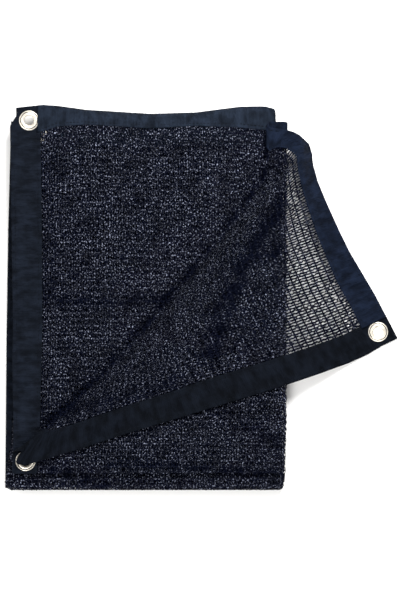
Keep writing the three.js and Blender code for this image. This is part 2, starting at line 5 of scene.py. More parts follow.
import bmesh
import bpy
import numpy as np
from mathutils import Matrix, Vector


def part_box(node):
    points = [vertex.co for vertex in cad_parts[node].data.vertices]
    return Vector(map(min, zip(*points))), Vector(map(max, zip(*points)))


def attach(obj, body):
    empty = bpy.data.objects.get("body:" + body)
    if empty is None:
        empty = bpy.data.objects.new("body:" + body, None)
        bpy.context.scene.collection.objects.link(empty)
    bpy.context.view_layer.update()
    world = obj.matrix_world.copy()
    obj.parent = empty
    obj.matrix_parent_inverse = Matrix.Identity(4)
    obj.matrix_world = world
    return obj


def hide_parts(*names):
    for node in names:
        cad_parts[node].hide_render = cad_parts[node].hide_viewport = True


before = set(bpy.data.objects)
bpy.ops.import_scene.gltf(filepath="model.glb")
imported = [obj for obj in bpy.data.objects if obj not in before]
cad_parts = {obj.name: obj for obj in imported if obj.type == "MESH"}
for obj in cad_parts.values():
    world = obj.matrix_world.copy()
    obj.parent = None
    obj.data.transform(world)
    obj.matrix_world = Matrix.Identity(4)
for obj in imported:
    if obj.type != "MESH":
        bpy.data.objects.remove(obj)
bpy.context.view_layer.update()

bl_info = {
    "name": "Folded shade cloth",
    "version": (1, 0, 0),
    "blender": (4, 5, 0),
    "location": "View3D > Sidebar > Shade cloth",
    "description": "Builds a knitted shade cloth, folded into a flat pack, with its tapes and eyelets",
    "category": "Add Mesh",
}

# Blender's unit is the metre. The flat cloth and the folded pack are laid out in millimetres,
# as on a cutting table, and go through this factor once.
MM = 0.001

# Flat cloth: u runs along the long side and v along the short side
BACK_PLY = 438
FRONT_PLY = 472
CLOTH_WIDTH = BACK_PLY + FRONT_PLY
TAPE_WIDTH = 32
TAPE_THICK = 1.6
TAPE_STEP = 2.6

# Two rows of stitches, each in a groove of the tape
STITCH_INSET = 4.0
STITCH_GROOVE = 0.22
STITCH_FULLNESS = 1.3

# The long tapes reach under the short ones by this overlap, and are sunk there
TAPE_OVERLAP = 3
END_SINK = 1.7
END_SINK_RUN = 1.5

# Pack
LAYER_STEP = 3
FOLD_RADIUS = LAYER_STEP / 2
PANEL_RADIUS = LAYER_STEP
PANEL_TURN = math.pi * PANEL_RADIUS
PANEL_LENGTHS = (342, 342, 322, 322)
LOWEST_LAYER = 0.6
GROUND_GAP = 0.2
HEM_LIFT = 0.7
HEM_LIFT_FADE = 30
TOP_LEVEL = 2 * len(PANEL_LENGTHS) - 1

# y of each panel's corners, at its start and end: the back layer's hem, the bottom fold and
# the front layer's hem
PANEL_COLUMNS = ("back_start", "fold_start", "front_start", "back_end", "fold_end", "front_end")
PANELS = (
    (432, 21.6, 445, 432, 22, 443),
    (447, 1.6, 441, 446, 0.8, 443),
    (446, 0.6, 444, 444, 0.6, 440),
    (444, 0.8, 441, 446, 3.6, 445),
)

# How far each hem or panel fold reaches in x, by its place along the short side
REACH_AT = (0, 130, 260, 380, BACK_PLY, 500, 640, 780, CLOTH_WIDTH)
REACH = (
    (19.2, 21.5, 22, 18.5, 14.4, 16, 17, 18, 19),
    (333, 335, 337, 340, 342, 343.5, 344, 344.4, 344.4),
    (26.4, 23.5, 21, 13, 4.4, 12, 21, 24, 27),
    (334, 335, 337, 340, 341, 340, 338, 337, 339),
    (12.6, 9.2, 7.2, 6.2, 5.6, 7, 10, 12, 14),
)
LEFT_CORNER_RADIUS = 10
RIGHT_CORNER_RADIUS = 6

# Along the back layer's top hem, by x: its outer edge, its inner edge and how far it hangs
TOP_HEM_AT = (16, 52, 68, 102, 180, 235, 288, 318, 332)
TOP_HEM_EDGE = (459.6, 463.4, 462, 457.2, 452.4, 454, 460.8, 461.4, 458)
TOP_HEM_INNER = (427.6, 431.4, 437, 439.5, 435, 438, 436, 433, 430)
TOP_HEM_DROP = (0, 0, 6, 10, 12, 11, 8, 4, 1)

# The diagonal fold on the flat cloth, and its bow away from the corner that it turns back
CREASE_START = (0, BACK_PLY + 22)
CREASE_END = (312, CLOTH_WIDTH)
CREASE_RADIUS = 4.5
CREASE_HALF_TURN = math.pi * CREASE_RADIUS / 2
CREASE_BOW_AT = (0, 0.04, 0.09, 0.15, 0.22, 0.33, 0.45, 0.6, 0.78, 0.89, 0.945, 1)
CREASE_BOW = (0, 7.5, 13, 19, 27, 36, 42, 47, 52, 51, 36, 15)
CREASE_PULL_AT = (0, 0.03, 0.06, 0.1, 0.35, 0.8, 0.92, 1)
CREASE_PULL = (8, 10, 20, 45, 150, 150, 60, 30)
CREASE_RIDGE_RUN = 55

# The turned corner: its tip, the ends of its two hems, and how far they bow outwards
TIP = np.array((478.0, 183.0))
SHORT_HEM_END = np.array((-3.0, 41.0))
LONG_HEM_END = np.array((333.0, 444.0))
SHORT_HEM_BOW_AT = (0, 0.04, 0.08, 0.125, 0.2, 0.3, 0.53, 0.66, 0.8, 0.91, 0.93, 0.955, 1)
SHORT_HEM_BOW = (0, 3.4, 8.6, 11.8, 13.9, 15.6, 16.6, 17, 19, 19, 15.5, 4, 4)
LONG_HEM_BOW_AT = (0, 0.2, 0.4, 0.5, 0.63, 0.71, 0.775, 0.82, 0.86, 0.91, 0.95, 1)
LONG_HEM_BOW = (0, 1.6, 0, 1.4, 4.6, 7.4, 12.2, 18, 20, 14.5, 8, 0)
SHORT_HEM_BOW_FADE = 220
LONG_HEM_BOW_FADE = 150

# The short hem is also drawn along towards its end, where it spreads over the eyelet
SHORT_HEM_SLIDE_AT = (0, 0.35, 0.7, 0.92, 0.937, 0.955, 1)
SHORT_HEM_SLIDE = (0, 3, 13.5, 15, 14, 2, 0)
SHORT_HEM_SLIDE_FADE = 90

# The long hem's tape leans down off the pack towards its end: its width seen from above, and
# how near the ground its outer edge comes, from 0 to 1
LONG_HEM_LEAN_AT = (0, 0.3, 0.39, 0.48, 0.58, 0.65, 0.75, 0.84, 0.9, 1)
LONG_HEM_WIDE = (32, 32, 29, 27, 24, 21.5, 18, 16, 22, 34)
LONG_HEM_DOWN = (0, 0, 0.35, 0.5, 0.7, 0.85, 1, 1, 1, 1)
PACK_EDGE = 347
DROOP_RUN = 90
LEAN_CLEARANCE = 5
LEAN_RUN = 22

# Past the notch at its corner, the top layer's left tape spreads outwards over the layers below
LEFT_SPREAD_AT = (0, 10, 22, 120, 300, BACK_PLY)
LEFT_SPREAD = (0, 0, 7.5, 8, 6, 0)

# The layers below are drawn back a little under the corner's eyelet: x, half width, the y from
# which it starts, over what run, and how far
DRAWN_BACK = (31, 13, 415, 30, 11)

# Soft rises and troughs across the pack: x1, y1, x2, y2, width, height
CREASES = (
    (52, 229, 235, 231, 12, 1.6),
    (22, 212, 240, 216, 16, -1.2),
    (60, 330, 150, 395, 50, 1.4),
    (120, 150, 200, 120, 45, -1.3),
    (140, 40, 300, 55, 35, 1.2),
    (290, 330, 300, 150, 40, -1.2),
)
FLAP_CREASES = (
    (344, 355, 264, 205, 20, -2.2),
    (372, 330, 300, 190, 24, 2.4),
    (150, 95, 190, 125, 22, 1.5),
    (255, 130, 300, 150, 26, -1.4),
)

# Eyelets, on the flat cloth, and the hole in the tape round an eyelet's barrel
EYELET_INSET = 17
HOLE_RADIUS = 7.4
HOLE_CUT_DEPTH = 4.2
TURN_COUNT = len(PANEL_LENGTHS) - 1
CLOTH_LENGTH = sum(PANEL_LENGTHS) + TURN_COUNT * PANEL_TURN
EYELETS = {
    "eyelet_back_corner": (EYELET_INSET, EYELET_INSET),
    "eyelet_left_middle": (EYELET_INSET, CLOTH_WIDTH / 2),
    "eyelet_turned_corner": (EYELET_INSET, CLOTH_WIDTH - EYELET_INSET),
    "eyelet_back_middle": (CLOTH_LENGTH / 2, EYELET_INSET),
    "eyelet_front_middle": (CLOTH_LENGTH / 2, CLOTH_WIDTH - EYELET_INSET),
    "eyelet_end_back": (CLOTH_LENGTH - EYELET_INSET, EYELET_INSET),
    "eyelet_end_middle": (CLOTH_LENGTH - EYELET_INSET, CLOTH_WIDTH / 2),
    "eyelet_end_front": (CLOTH_LENGTH - EYELET_INSET, CLOTH_WIDTH - EYELET_INSET),
}

BOTTOM_TURN = math.pi * FOLD_RADIUS
BACK_FLAT = BACK_PLY - BOTTOM_TURN / 2
FRONT_FLAT = BACK_PLY + BOTTOM_TURN / 2
PANEL_STARTS = np.array([sum(PANEL_LENGTHS[:k]) + k * PANEL_TURN for k in range(TURN_COUNT + 1)])
PANEL_ENDS = PANEL_STARTS + np.array(PANEL_LENGTHS)

crease_run = np.subtract(CREASE_END, CREASE_START).astype(float)
CREASE_LENGTH = float(np.hypot(*crease_run))
crease_run /= CREASE_LENGTH


def mix(a, b, t):
    return a + (b - a) * t


def smooth(t):
    t = np.clip(t, 0, 1)
    return t * t * (3 - 2 * t)


def ply_offset(v):
    """How far the layer at v lies from the middle of its double layer."""
    return -FOLD_RADIUS * np.cos(np.clip((v - BACK_FLAT) / FOLD_RADIUS, 0, math.pi))


def ply_y(v, back_top, fold, front_top):
    """y at v on a section of the folded cloth."""
    centre = fold + FOLD_RADIUS
    back = mix(back_top, centre, v / BACK_FLAT)
    front = mix(centre, front_top, (v - FRONT_FLAT) / (CLOTH_WIDTH - FRONT_FLAT))
    bottom = centre - FOLD_RADIUS * np.sin(np.clip((v - BACK_FLAT) / FOLD_RADIUS, 0, math.pi))
    return np.where(v <= BACK_FLAT, back, np.where(v >= FRONT_FLAT, front, bottom))


def top_panel_back(x, v, fold):
    """y and drop on the top panel's back layer, whose hem rolls over the pack's back edge."""
    edge = np.interp(x, TOP_HEM_AT, TOP_HEM_EDGE)
    inner = np.interp(x, TOP_HEM_AT, TOP_HEM_INNER)
    drop = np.interp(x, TOP_HEM_AT, TOP_HEM_DROP)
    centre = fold + FOLD_RADIUS
    knit = mix(inner, centre, (v - TAPE_WIDTH) / (BACK_FLAT - TAPE_WIDTH))
    out = np.clip(1 - v / TAPE_WIDTH, 0, 1)
    tape = mix(inner, edge, 1 - (1 - out) ** (1 + drop / 16))
    return np.where(v >= TAPE_WIDTH, knit, tape), drop * out ** 2.4


def reach(boundary, v):
    every = np.stack([np.interp(v, REACH_AT, row) for row in REACH])
    return every[boundary, np.arange(len(v))]


def corner_inset(boundary, height):
    """A rounded corner's inset at a height over the bottom fold."""
    radius = np.where(boundary % 2 == 1, RIGHT_CORNER_RADIUS, LEFT_CORNER_RADIUS)
    above = np.clip(height, 0, radius)
    return radius - np.sqrt(radius**2 - (radius - above) ** 2)


def turn_centre(boundary, v, inset):
    side = np.where(boundary % 2 == 1, 1, -1)
    return reach(boundary, v) - side * (PANEL_RADIUS + FOLD_RADIUS + inset)


def panel_edge_x(boundary, v, inset):
    is_hem = (boundary == 0) | (boundary == len(PANEL_LENGTHS))
    return np.where(is_hem, reach(boundary, v), turn_centre(boundary, v, inset))


def pack_point(u, v):
    """The cloth folded in half and into panels, before its corner is turned back."""
    panel = np.clip(np.searchsorted(PANEL_STARTS, u + 1e-9, side="right") - 1, 0, TURN_COUNT)
    row = dict(zip(PANEL_COLUMNS, np.array(PANELS, float)[panel].T))
    following = dict(zip(PANEL_COLUMNS, np.array(PANELS, float)[np.minimum(panel + 1, TURN_COUNT)].T))
    start, end = PANEL_STARTS[panel], PANEL_ENDS[panel]
    along = np.clip((u - start) / (end - start), 0, 1)
    offset = ply_offset(v)
    middle = LOWEST_LAYER + LAYER_STEP * (TOP_LEVEL - 0.5 - 2 * panel)
    normal = np.where(panel % 2 == 0, 1, -1)
    y_start = ply_y(v, row["back_start"], row["fold_start"], row["front_start"])
    y_end = ply_y(v, row["back_end"], row["fold_end"], row["front_end"])
    inset_start = corner_inset(panel, y_start - row["fold_start"])
    inset_end = corner_inset(panel + 1, y_end - row["fold_end"])
    on_top_back = (panel == 0) & (v < BACK_FLAT)

    x_flat = mix(panel_edge_x(panel, v, inset_start), panel_edge_x(panel + 1, v, inset_end), along)
    y_back, drop_back = top_panel_back(x_flat, v, mix(row["fold_start"], row["fold_end"], along))
    y_flat = np.where(on_top_back, y_back, mix(y_start, y_end, along))
    z_flat = middle + normal * offset - np.where(on_top_back, drop_back, 0)

    turn = np.clip((u - end) / PANEL_TURN, 0, 1)
    centre = turn_centre(panel + 1, v, inset_end)
    radius = PANEL_RADIUS + normal * offset
    y_next = ply_y(v, following["back_start"], following["fold_start"], following["front_start"])
    y_last, drop_last = top_panel_back(centre, v, row["fold_end"])
    y_last = np.where(on_top_back, y_last, y_end)
    drop_last = np.where(on_top_back, drop_last, 0)
    x_turn = centre + normal * radius * np.sin(math.pi * turn)
    y_turn = mix(y_last, y_next, smooth(turn))
    z_turn = middle - PANEL_RADIUS + radius * np.cos(math.pi * turn) - drop_last * (1 - smooth(turn))

    flat = u <= end + 1e-9
    return np.where(flat, x_flat, x_turn), np.where(flat, y_flat, y_turn), np.where(flat, z_flat, z_turn)


def crease_place(u, v):
    """Where a place lies along the diagonal fold, from 0 to 1, and how far past its middle."""
    du, dv = u - CREASE_START[0], v - CREASE_START[1]
    at = (du * crease_run[0] + dv * crease_run[1]) / CREASE_LENGTH
    out = du * crease_run[1] - dv * crease_run[0]
    past = np.interp(at, CREASE_BOW_AT, CREASE_BOW) - CREASE_HALF_TURN - out
    on_corner = (u <= PANEL_LENGTHS[0]) & (v >= FRONT_FLAT)
    return at, np.where(on_corner, past, -np.inf)


def on_flat_cloth(at, past):
    out = np.interp(at, CREASE_BOW_AT, CREASE_BOW) - CREASE_HALF_TURN - past
    return (
        CREASE_START[0] + crease_run[0] * at * CREASE_LENGTH + crease_run[1] * out,
        CREASE_START[1] + crease_run[1] * at * CREASE_LENGTH - crease_run[0] * out,
    )


def hem_line(end, outward_side):
    """A hem of the turned corner, from the tip: its direction, length and outward side."""
    run = end - TIP
    length = float(np.hypot(*run))
    direction = run / length
    outward = np.array((direction[1], -direction[0]))
    return direction, length, outward * np.sign(outward @ np.array(outward_side))


SHORT_HEM, SHORT_HEM_LENGTH, SHORT_HEM_OUT = hem_line(SHORT_HEM_END, (0, -1))
LONG_HEM, LONG_HEM_LENGTH, LONG_HEM_OUT = hem_line(LONG_HEM_END, (1, 0))


def stretch_past_tape(distance, flat_length, length, wide=TAPE_WIDTH):
    share = (distance - TAPE_WIDTH) / (flat_length - TAPE_WIDTH)
    return np.where(distance <= TAPE_WIDTH, distance * wide / TAPE_WIDTH, mix(wide, length, share))


def long_hem_place(u):
    """How far u lies along the turned corner's long hem, from the tip at 0 to its end at 1."""
    return stretch_past_tape(u, CREASE_END[0], LONG_HEM_LENGTH) / LONG_HEM_LENGTH


def hem_point(u, v):
    """The turned corner laid out from its two hems, whose bows are gone further in."""
    flat_length = CLOTH_WIDTH - CREASE_START[1]
    short_at = stretch_past_tape(CLOTH_WIDTH - v, flat_length, SHORT_HEM_LENGTH) / SHORT_HEM_LENGTH
    long_at = long_hem_place(u)
    wide = np.interp(long_at, LONG_HEM_LEAN_AT, LONG_HEM_WIDE)
    short = stretch_past_tape(CLOTH_WIDTH - v, flat_length, SHORT_HEM_LENGTH, wide)
    slide = np.interp(short_at, SHORT_HEM_SLIDE_AT, SHORT_HEM_SLIDE)
    short = short + slide * np.maximum(0, 1 - u / SHORT_HEM_SLIDE_FADE) ** 1.5
    short_bow = np.interp(short_at, SHORT_HEM_BOW_AT, SHORT_HEM_BOW)
    short_bow = short_bow * np.maximum(0, 1 - u / SHORT_HEM_BOW_FADE) ** 1.5
    long_bow = np.interp(long_at, LONG_HEM_BOW_AT, LONG_HEM_BOW)
    long_bow = long_bow * np.maximum(0, 1 - (CLOTH_WIDTH - v) / LONG_HEM_BOW_FADE) ** 1.5
    return (TIP + short[:, None] * SHORT_HEM + (long_at * LONG_HEM_LENGTH)[:, None] * LONG_HEM
            + short_bow[:, None] * SHORT_HEM_OUT + long_bow[:, None] * LONG_HEM_OUT)


def distance_to_run(x, y, run):
    """The distance from each place to a line through several points."""
    nearest = np.full(len(x), np.inf)
    for (x1, y1), (x2, y2) in zip(run, run[1:]):
        dx, dy = x2 - x1, y2 - y1
        t = np.clip(((x - x1) * dx + (y - y1) * dy) / (dx * dx + dy * dy), 0, 1)
        nearest = np.minimum(nearest, np.hypot(x - x1 - dx * t, y - y1 - dy * t))
    return nearest


def soft_line(x, y, run, width):
    """1 on a line through several points, fading out over its width."""
    return np.exp(-((distance_to_run(x, y, run) / width) ** 2))


def relief(lines, x, y):
    """Rises and troughs at a place, from a table of soft straight lines."""
    return sum(rise * soft_line(x, y, ((x1, y1), (x2, y2)), width)
               for x1, y1, x2, y2, width, rise in lines)


def hem_lift(u, v):
    inside = np.minimum(np.minimum(u, CLOTH_LENGTH - u), np.minimum(v, CLOTH_WIDTH - v)) - TAPE_WIDTH
    return HEM_LIFT * (1 - smooth(inside / HEM_LIFT_FADE))


def cloth_point(u, v):
    """Places of the flat cloth in the pack, in millimetres, as rows of x, y, z."""
    u, v = np.broadcast_arrays(np.atleast_1d(np.asarray(u, float)), np.atleast_1d(np.asarray(v, float)))
    at, past = crease_place(u, v)
    top_z = LOWEST_LAYER + LAYER_STEP * TOP_LEVEL
    lift = hem_lift(u, v)

    x, y, z = pack_point(u, v)
    level = (z - LOWEST_LAYER) / LAYER_STEP / TOP_LEVEL
    places = np.stack([x, y, z + lift + level * relief(CREASES, x, y)], axis=1)

    turning = past >= -CREASE_HALF_TURN
    if not turning.any():
        return places
    u, v, at, past, lift = (values[turning] for values in (u, v, at, past, lift))
    axis_u, axis_v = on_flat_cloth(at, -CREASE_HALF_TURN)
    axis = np.stack(pack_point(axis_u, np.maximum(axis_v, FRONT_FLAT))[:2], axis=1)
    angle = past / CREASE_RADIUS
    reach_out = CREASE_RADIUS * np.cos(angle)
    roll_x = axis[:, 0] - crease_run[1] * reach_out
    roll_y = axis[:, 1] + crease_run[0] * reach_out
    roll_z = top_z + CREASE_RADIUS * (1 + np.sin(angle)) + lift + relief(CREASES, roll_x, roll_y)

    beyond = past - CREASE_HALF_TURN
    turned_u, turned_v = on_flat_cloth(at, CREASE_HALF_TURN)
    turned = hem_point(np.maximum(turned_u, 0), np.minimum(turned_v, CLOTH_WIDTH))
    pull = np.maximum(0, 1 - beyond / np.interp(at, CREASE_PULL_AT, CREASE_PULL)) ** 2
    flap = hem_point(u, v) + (axis - turned) * pull[:, None]
    ridge = (2 * CREASE_RADIUS - LAYER_STEP) * (1 - smooth(beyond / CREASE_RIDGE_RUN))
    over_pack = top_z + LAYER_STEP + ridge + relief(CREASES, *flap.T) + relief(FLAP_CREASES, *flap.T)
    droop = mix(over_pack, LOWEST_LAYER, smooth((flap[:, 0] - PACK_EDGE) / DROOP_RUN))
    in_tape = np.clip(1 - (CLOTH_WIDTH - v) / TAPE_WIDTH, 0, 1) ** 1.3
    lean = in_tape * np.interp(long_hem_place(u), LONG_HEM_LEAN_AT, LONG_HEM_DOWN) * smooth(
        (flap[:, 0] - PACK_EDGE - LEAN_CLEARANCE) / LEAN_RUN)
    flap_z = mix(droop, LOWEST_LAYER, lean) + lift

    rolled = past < CREASE_HALF_TURN
    places[turning, 0] = np.where(rolled, roll_x, flap[:, 0])
    places[turning, 1] = np.where(rolled, roll_y, flap[:, 1])
    places[turning, 2] = np.where(rolled, roll_z, flap_z)
    return places


# The part's own origin, found from an eyelet that the frame holds
def pack_origin():
    low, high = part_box("eyelet_back_corner")
    centre = np.array((low + high) / 2)
    return centre - cloth_point(*EYELETS["eyelet_back_corner"])[0] * MM


PACK_ORIGIN = pack_origin()


class SmoothNoise:
    """A repeatable soft unevenness: a sum of waves whose directions come from a seed."""

    def __init__(self, seed, shortest, longest, count=14):
        rng = np.random.default_rng(seed)
        turn = rng.uniform(0, math.tau, count)
        length = rng.uniform(shortest, longest, count)
        self.wave = np.stack([np.cos(turn), np.sin(turn)]) * math.tau / length
        self.phase = rng.uniform(0, math.tau, count)
        self.scale = math.sqrt(2 / count)

    def __call__(self, a, b):
        turns = np.outer(a, self.wave[0]) + np.outer(b, self.wave[1]) + self.phase
        return np.sin(turns).sum(1) * self.scale


class Puckers:
    """Small creases across a sewn tape, at uneven distances along it."""

    def __init__(self, seed, length, gap, width, height):
        rng = np.random.default_rng(seed)
        count = int(length / gap)
        self.at = np.cumsum(rng.uniform(0.3, 1.7, count)) * gap
        self.width = rng.uniform(0.6, 1.6, count) * width
        self.height = rng.normal(0, 1, count) * height
        self.slant = rng.uniform(-0.25, 0.25, count)

    def __call__(self, along, across):
        height = np.zeros(len(along))
        for at, width, rise, slant in zip(self.at, self.width, self.height, self.slant):
            height += rise * np.exp(-(((along - at - slant * across) / width) ** 2))
        return height


# The main creases of the top layers, over the pack in millimetres: the places that each runs
# through, its width, its height (troughs are negative) and how much painted shade lies along it,
# from 0 to 1, where below 0 it is a painted highlight on a crest
FOLD_CREASES = (
    (((30, 231), (70, 229), (130, 226), (198, 233)), 6.5, -1.6, 0.8),
    (((345, 352), (314, 312), (294, 276), (278, 240), (262, 196), (250, 165)), 12, -2.6, 1.0),
    (((340, 296), (318, 279)), 8, -0.8, 0.8),
    (((336, 250), (300, 190)), 20, -0.5, 0.3),
    (((325, 362), (290, 318), (258, 289)), 9, 1.6, -0.25),
    (((62, 397), (60, 241)), 8, -0.3, 0.4),
    (((54, 94), (100, 99), (156, 113), (215, 132)), 12, -0.8, 0.5),
    (((130, 32), (216, 30), (300, 22), (340, 20)), 6, -1.0, 0.75),
    (((42, 34), (84, 19), (125, 7)), 8, -0.6, 0.7),
    (((296, 78), (336, 58)), 9, -0.8, 0.55),
    (((328, 424), (346, 400)), 14, -0.4, 0.6),
    (((120, 290), (140, 270)), 18, 0.8, -0.2),
    (((186, 262), (196, 250)), 16, 0.6, -0.2),
)


def fold_edge(count=24):
    """The outer edge of the diagonal fold, seen from above, on the pack."""
    at = np.linspace(0.03, 0.97, count)
    axis_u, axis_v = on_flat_cloth(at, -CREASE_HALF_TURN)
    x, y, _ = pack_point(axis_u, np.maximum(axis_v, FRONT_FLAT))
    return list(zip(x - crease_run[1] * CREASE_RADIUS, y + crease_run[0] * CREASE_RADIUS))


FOLD_EDGE = fold_edge()


def crease_height(x, y):
    """Rises and troughs at a place, from the table of the main creases."""
    return sum(height * soft_line(x, y, run, width) for run, width, height, _ in FOLD_CREASES)


# How much painted shade lies along the diagonal fold's edge and how wide, how uneven all the
# painted shade is, how much painted shade the sheer knit beside the pack gets, and the most
# painted highlight on a crest, below 0
EDGE_PAINTED_SHADE, EDGE_PAINTED_SHADE_WIDTH = 0.95, 5
PAINTED_SHADE_UNEVEN = 0.35
SHEER_PAINTED_SHADE = 0.55
PAINTED_HIGHLIGHT_LIMIT = -0.4


def painted_shade_at(places):
    """How much painted shade a place gets, up to 1: along the diagonal fold's edge, in the main creases and
    on the sheer knit beside the pack. Under 0 it is a painted highlight, on a crest.
    """
    x, y = places[:, 0], places[:, 1]
    painted_shade = EDGE_PAINTED_SHADE * soft_line(x, y, FOLD_EDGE, EDGE_PAINTED_SHADE_WIDTH)
    for run, width, _, painted_darkness in FOLD_CREASES:
        painted_shade += painted_darkness * soft_line(x, y, run, width)
    painted_shade *= 1 + PAINTED_SHADE_UNEVEN * painted_shade_swell(x, y)
    return np.clip(np.where(x < PACK_EDGE + 3, painted_shade, SHEER_PAINTED_SHADE), PAINTED_HIGHLIGHT_LIMIT, 1)


# The cloth is pressed flat by each eyelet's flange as far as this radius, and fades in past it
PRESSED_RADIUS, PRESSED_FADE = 13, 9


def clear_of_eyelets(u, v):
    """0 under an eyelet's flange, where the cloth is pressed flat, and 1 away from it."""
    nearest = np.full(len(u), np.inf)
    for eyelet_u, eyelet_v in EYELETS.values():
        nearest = np.minimum(nearest, np.hypot(u - eyelet_u, v - eyelet_v))
    return smooth((nearest - PRESSED_RADIUS) / PRESSED_FADE)


# The first of these makes the painted shade uneven; the other two are soft swells of the cloth
painted_shade_swell = SmoothNoise(13, shortest=9, longest=30)
soft_swell = SmoothNoise(11, shortest=18, longest=60)
fine_swell = SmoothNoise(12, shortest=7, longest=18)
SOFT_SWELL_HEIGHT, FINE_SWELL_HEIGHT, FREE_LIFT = 0.28, 0.1, 0.1
tape_puckers = {
    "tape_left": Puckers(21, CLOTH_WIDTH, gap=8, width=3, height=0.6),
    "tape_end": Puckers(22, CLOTH_WIDTH, gap=16, width=4, height=0.12),
    "tape_top_back": Puckers(23, CLOTH_LENGTH, gap=11, width=4, height=0.45),
    "tape_top_front": Puckers(24, CLOTH_LENGTH, gap=11, width=4, height=0.5),
}

# Heights over the ground: the layer on it stays flat, the main creases grow from the middle of
# the pack to its top, and the cloth is free to swell over the last but one layer
FLAT_BELOW = 1.5
CREASED_FROM, CREASED_RUN = 9, 9
FREE_FROM, FREE_RUN = 16.5, 2


def free_above(places):
    """1 where nothing lies on the cloth, and 0 deep in the pack."""
    on_top = smooth((places[:, 2] - FREE_FROM) / FREE_RUN)
    beside = smooth((places[:, 0] - PACK_EDGE) / 20)
    return np.maximum(on_top, 0.6 * beside)


def dressed_point(u, v):
    """cloth_point with the small unevenness of the real cloth, in the part's frame, in metres."""
    places = cloth_point(u, v)
    u, v = np.broadcast_to(u, len(places)), np.broadcast_to(v, len(places))
    spread = np.interp(v, LEFT_SPREAD_AT, LEFT_SPREAD) * np.clip(1 - u / TAPE_WIDTH, 0, 1)
    places[:, 0] -= np.where(v < BACK_PLY, spread, 0)
    x, y, z = places.T
    middle, half_width, from_y, run, far = DRAWN_BACK
    drawn = far * np.exp(-(((x - middle) / half_width) ** 2)) * smooth((y - from_y) / run)
    places[:, 1] -= np.where(u > PANEL_ENDS[0] + PANEL_TURN, drawn, 0)
    swell = SOFT_SWELL_HEIGHT * soft_swell(x, y) + FINE_SWELL_HEIGHT * fine_swell(x, y)
    level = np.clip((z - CREASED_FROM) / CREASED_RUN, 0, 1)
    creases = level * crease_height(x, y) * (x < PACK_EDGE + 6)
    rise = free_above(places) * (swell + FREE_LIFT) + creases
    places[:, 2] += clear_of_eyelets(u, v) * np.where(z < FLAT_BELOW, 0, rise)
    return places * MM + PACK_ORIGIN


def surface_frame(u, v, step=0.4):
    """Places and unit normals on the dressed cloth."""
    u, v = np.broadcast_arrays(np.asarray(u, float), np.asarray(v, float))
    place = dressed_point(u, v)
    along = (dressed_point(np.minimum(u + step, CLOTH_LENGTH), v)
             - dressed_point(np.maximum(u - step, 0), v))
    across = (dressed_point(u, np.minimum(v + step, CLOTH_WIDTH))
              - dressed_point(u, np.maximum(v - step, 0)))
    normal = np.cross(along, across)
    return place, normal / np.linalg.norm(normal, axis=1, keepdims=True)


# Meshes
def mesh_object(name, points, faces, uv=None, smooth_faces=True, painted_shade=None):
    """A new object from arrays of points and of quads or triangles."""
    mesh = bpy.data.meshes.new(name)
    sizes = np.array([len(face) for face in faces])
    corners = np.concatenate(faces)
    mesh.vertices.add(len(points))
    mesh.vertices.foreach_set("co", np.asarray(points, np.float32).ravel())
    mesh.loops.add(len(corners))
    mesh.loops.foreach_set("vertex_index", corners.astype(np.int32))
    mesh.polygons.add(len(sizes))
    mesh.polygons.foreach_set("loop_start", np.concatenate([[0], np.cumsum(sizes)[:-1]]).astype(np.int32))
    mesh.polygons.foreach_set("use_smooth", np.full(len(sizes), smooth_faces))
    mesh.update(calc_edges=True)
    # Painted shade for the knit's material, kept as a value on each point
    if painted_shade is not None:
        mesh.attributes.new("painted_shade", "FLOAT", "POINT").data.foreach_set("value", painted_shade.astype(np.float32))
    if uv is not None:
        layer = mesh.uv_layers.new(name="cloth")
        layer.uv.foreach_set("vector", np.asarray(uv, np.float32)[corners].ravel())
    obj = bpy.data.objects.new(name, mesh)
    bpy.context.scene.collection.objects.link(obj)
    return obj


def face_outwards(obj):
    mesh = bmesh.new()
    mesh.from_mesh(obj.data)
    bmesh.ops.recalc_face_normals(mesh, faces=mesh.faces)
    mesh.to_mesh(obj.data)
    mesh.free()


def dress(obj, material):
    obj.data.materials.clear()
    obj.data.materials.append(material)
    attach(obj, "root")
    return obj


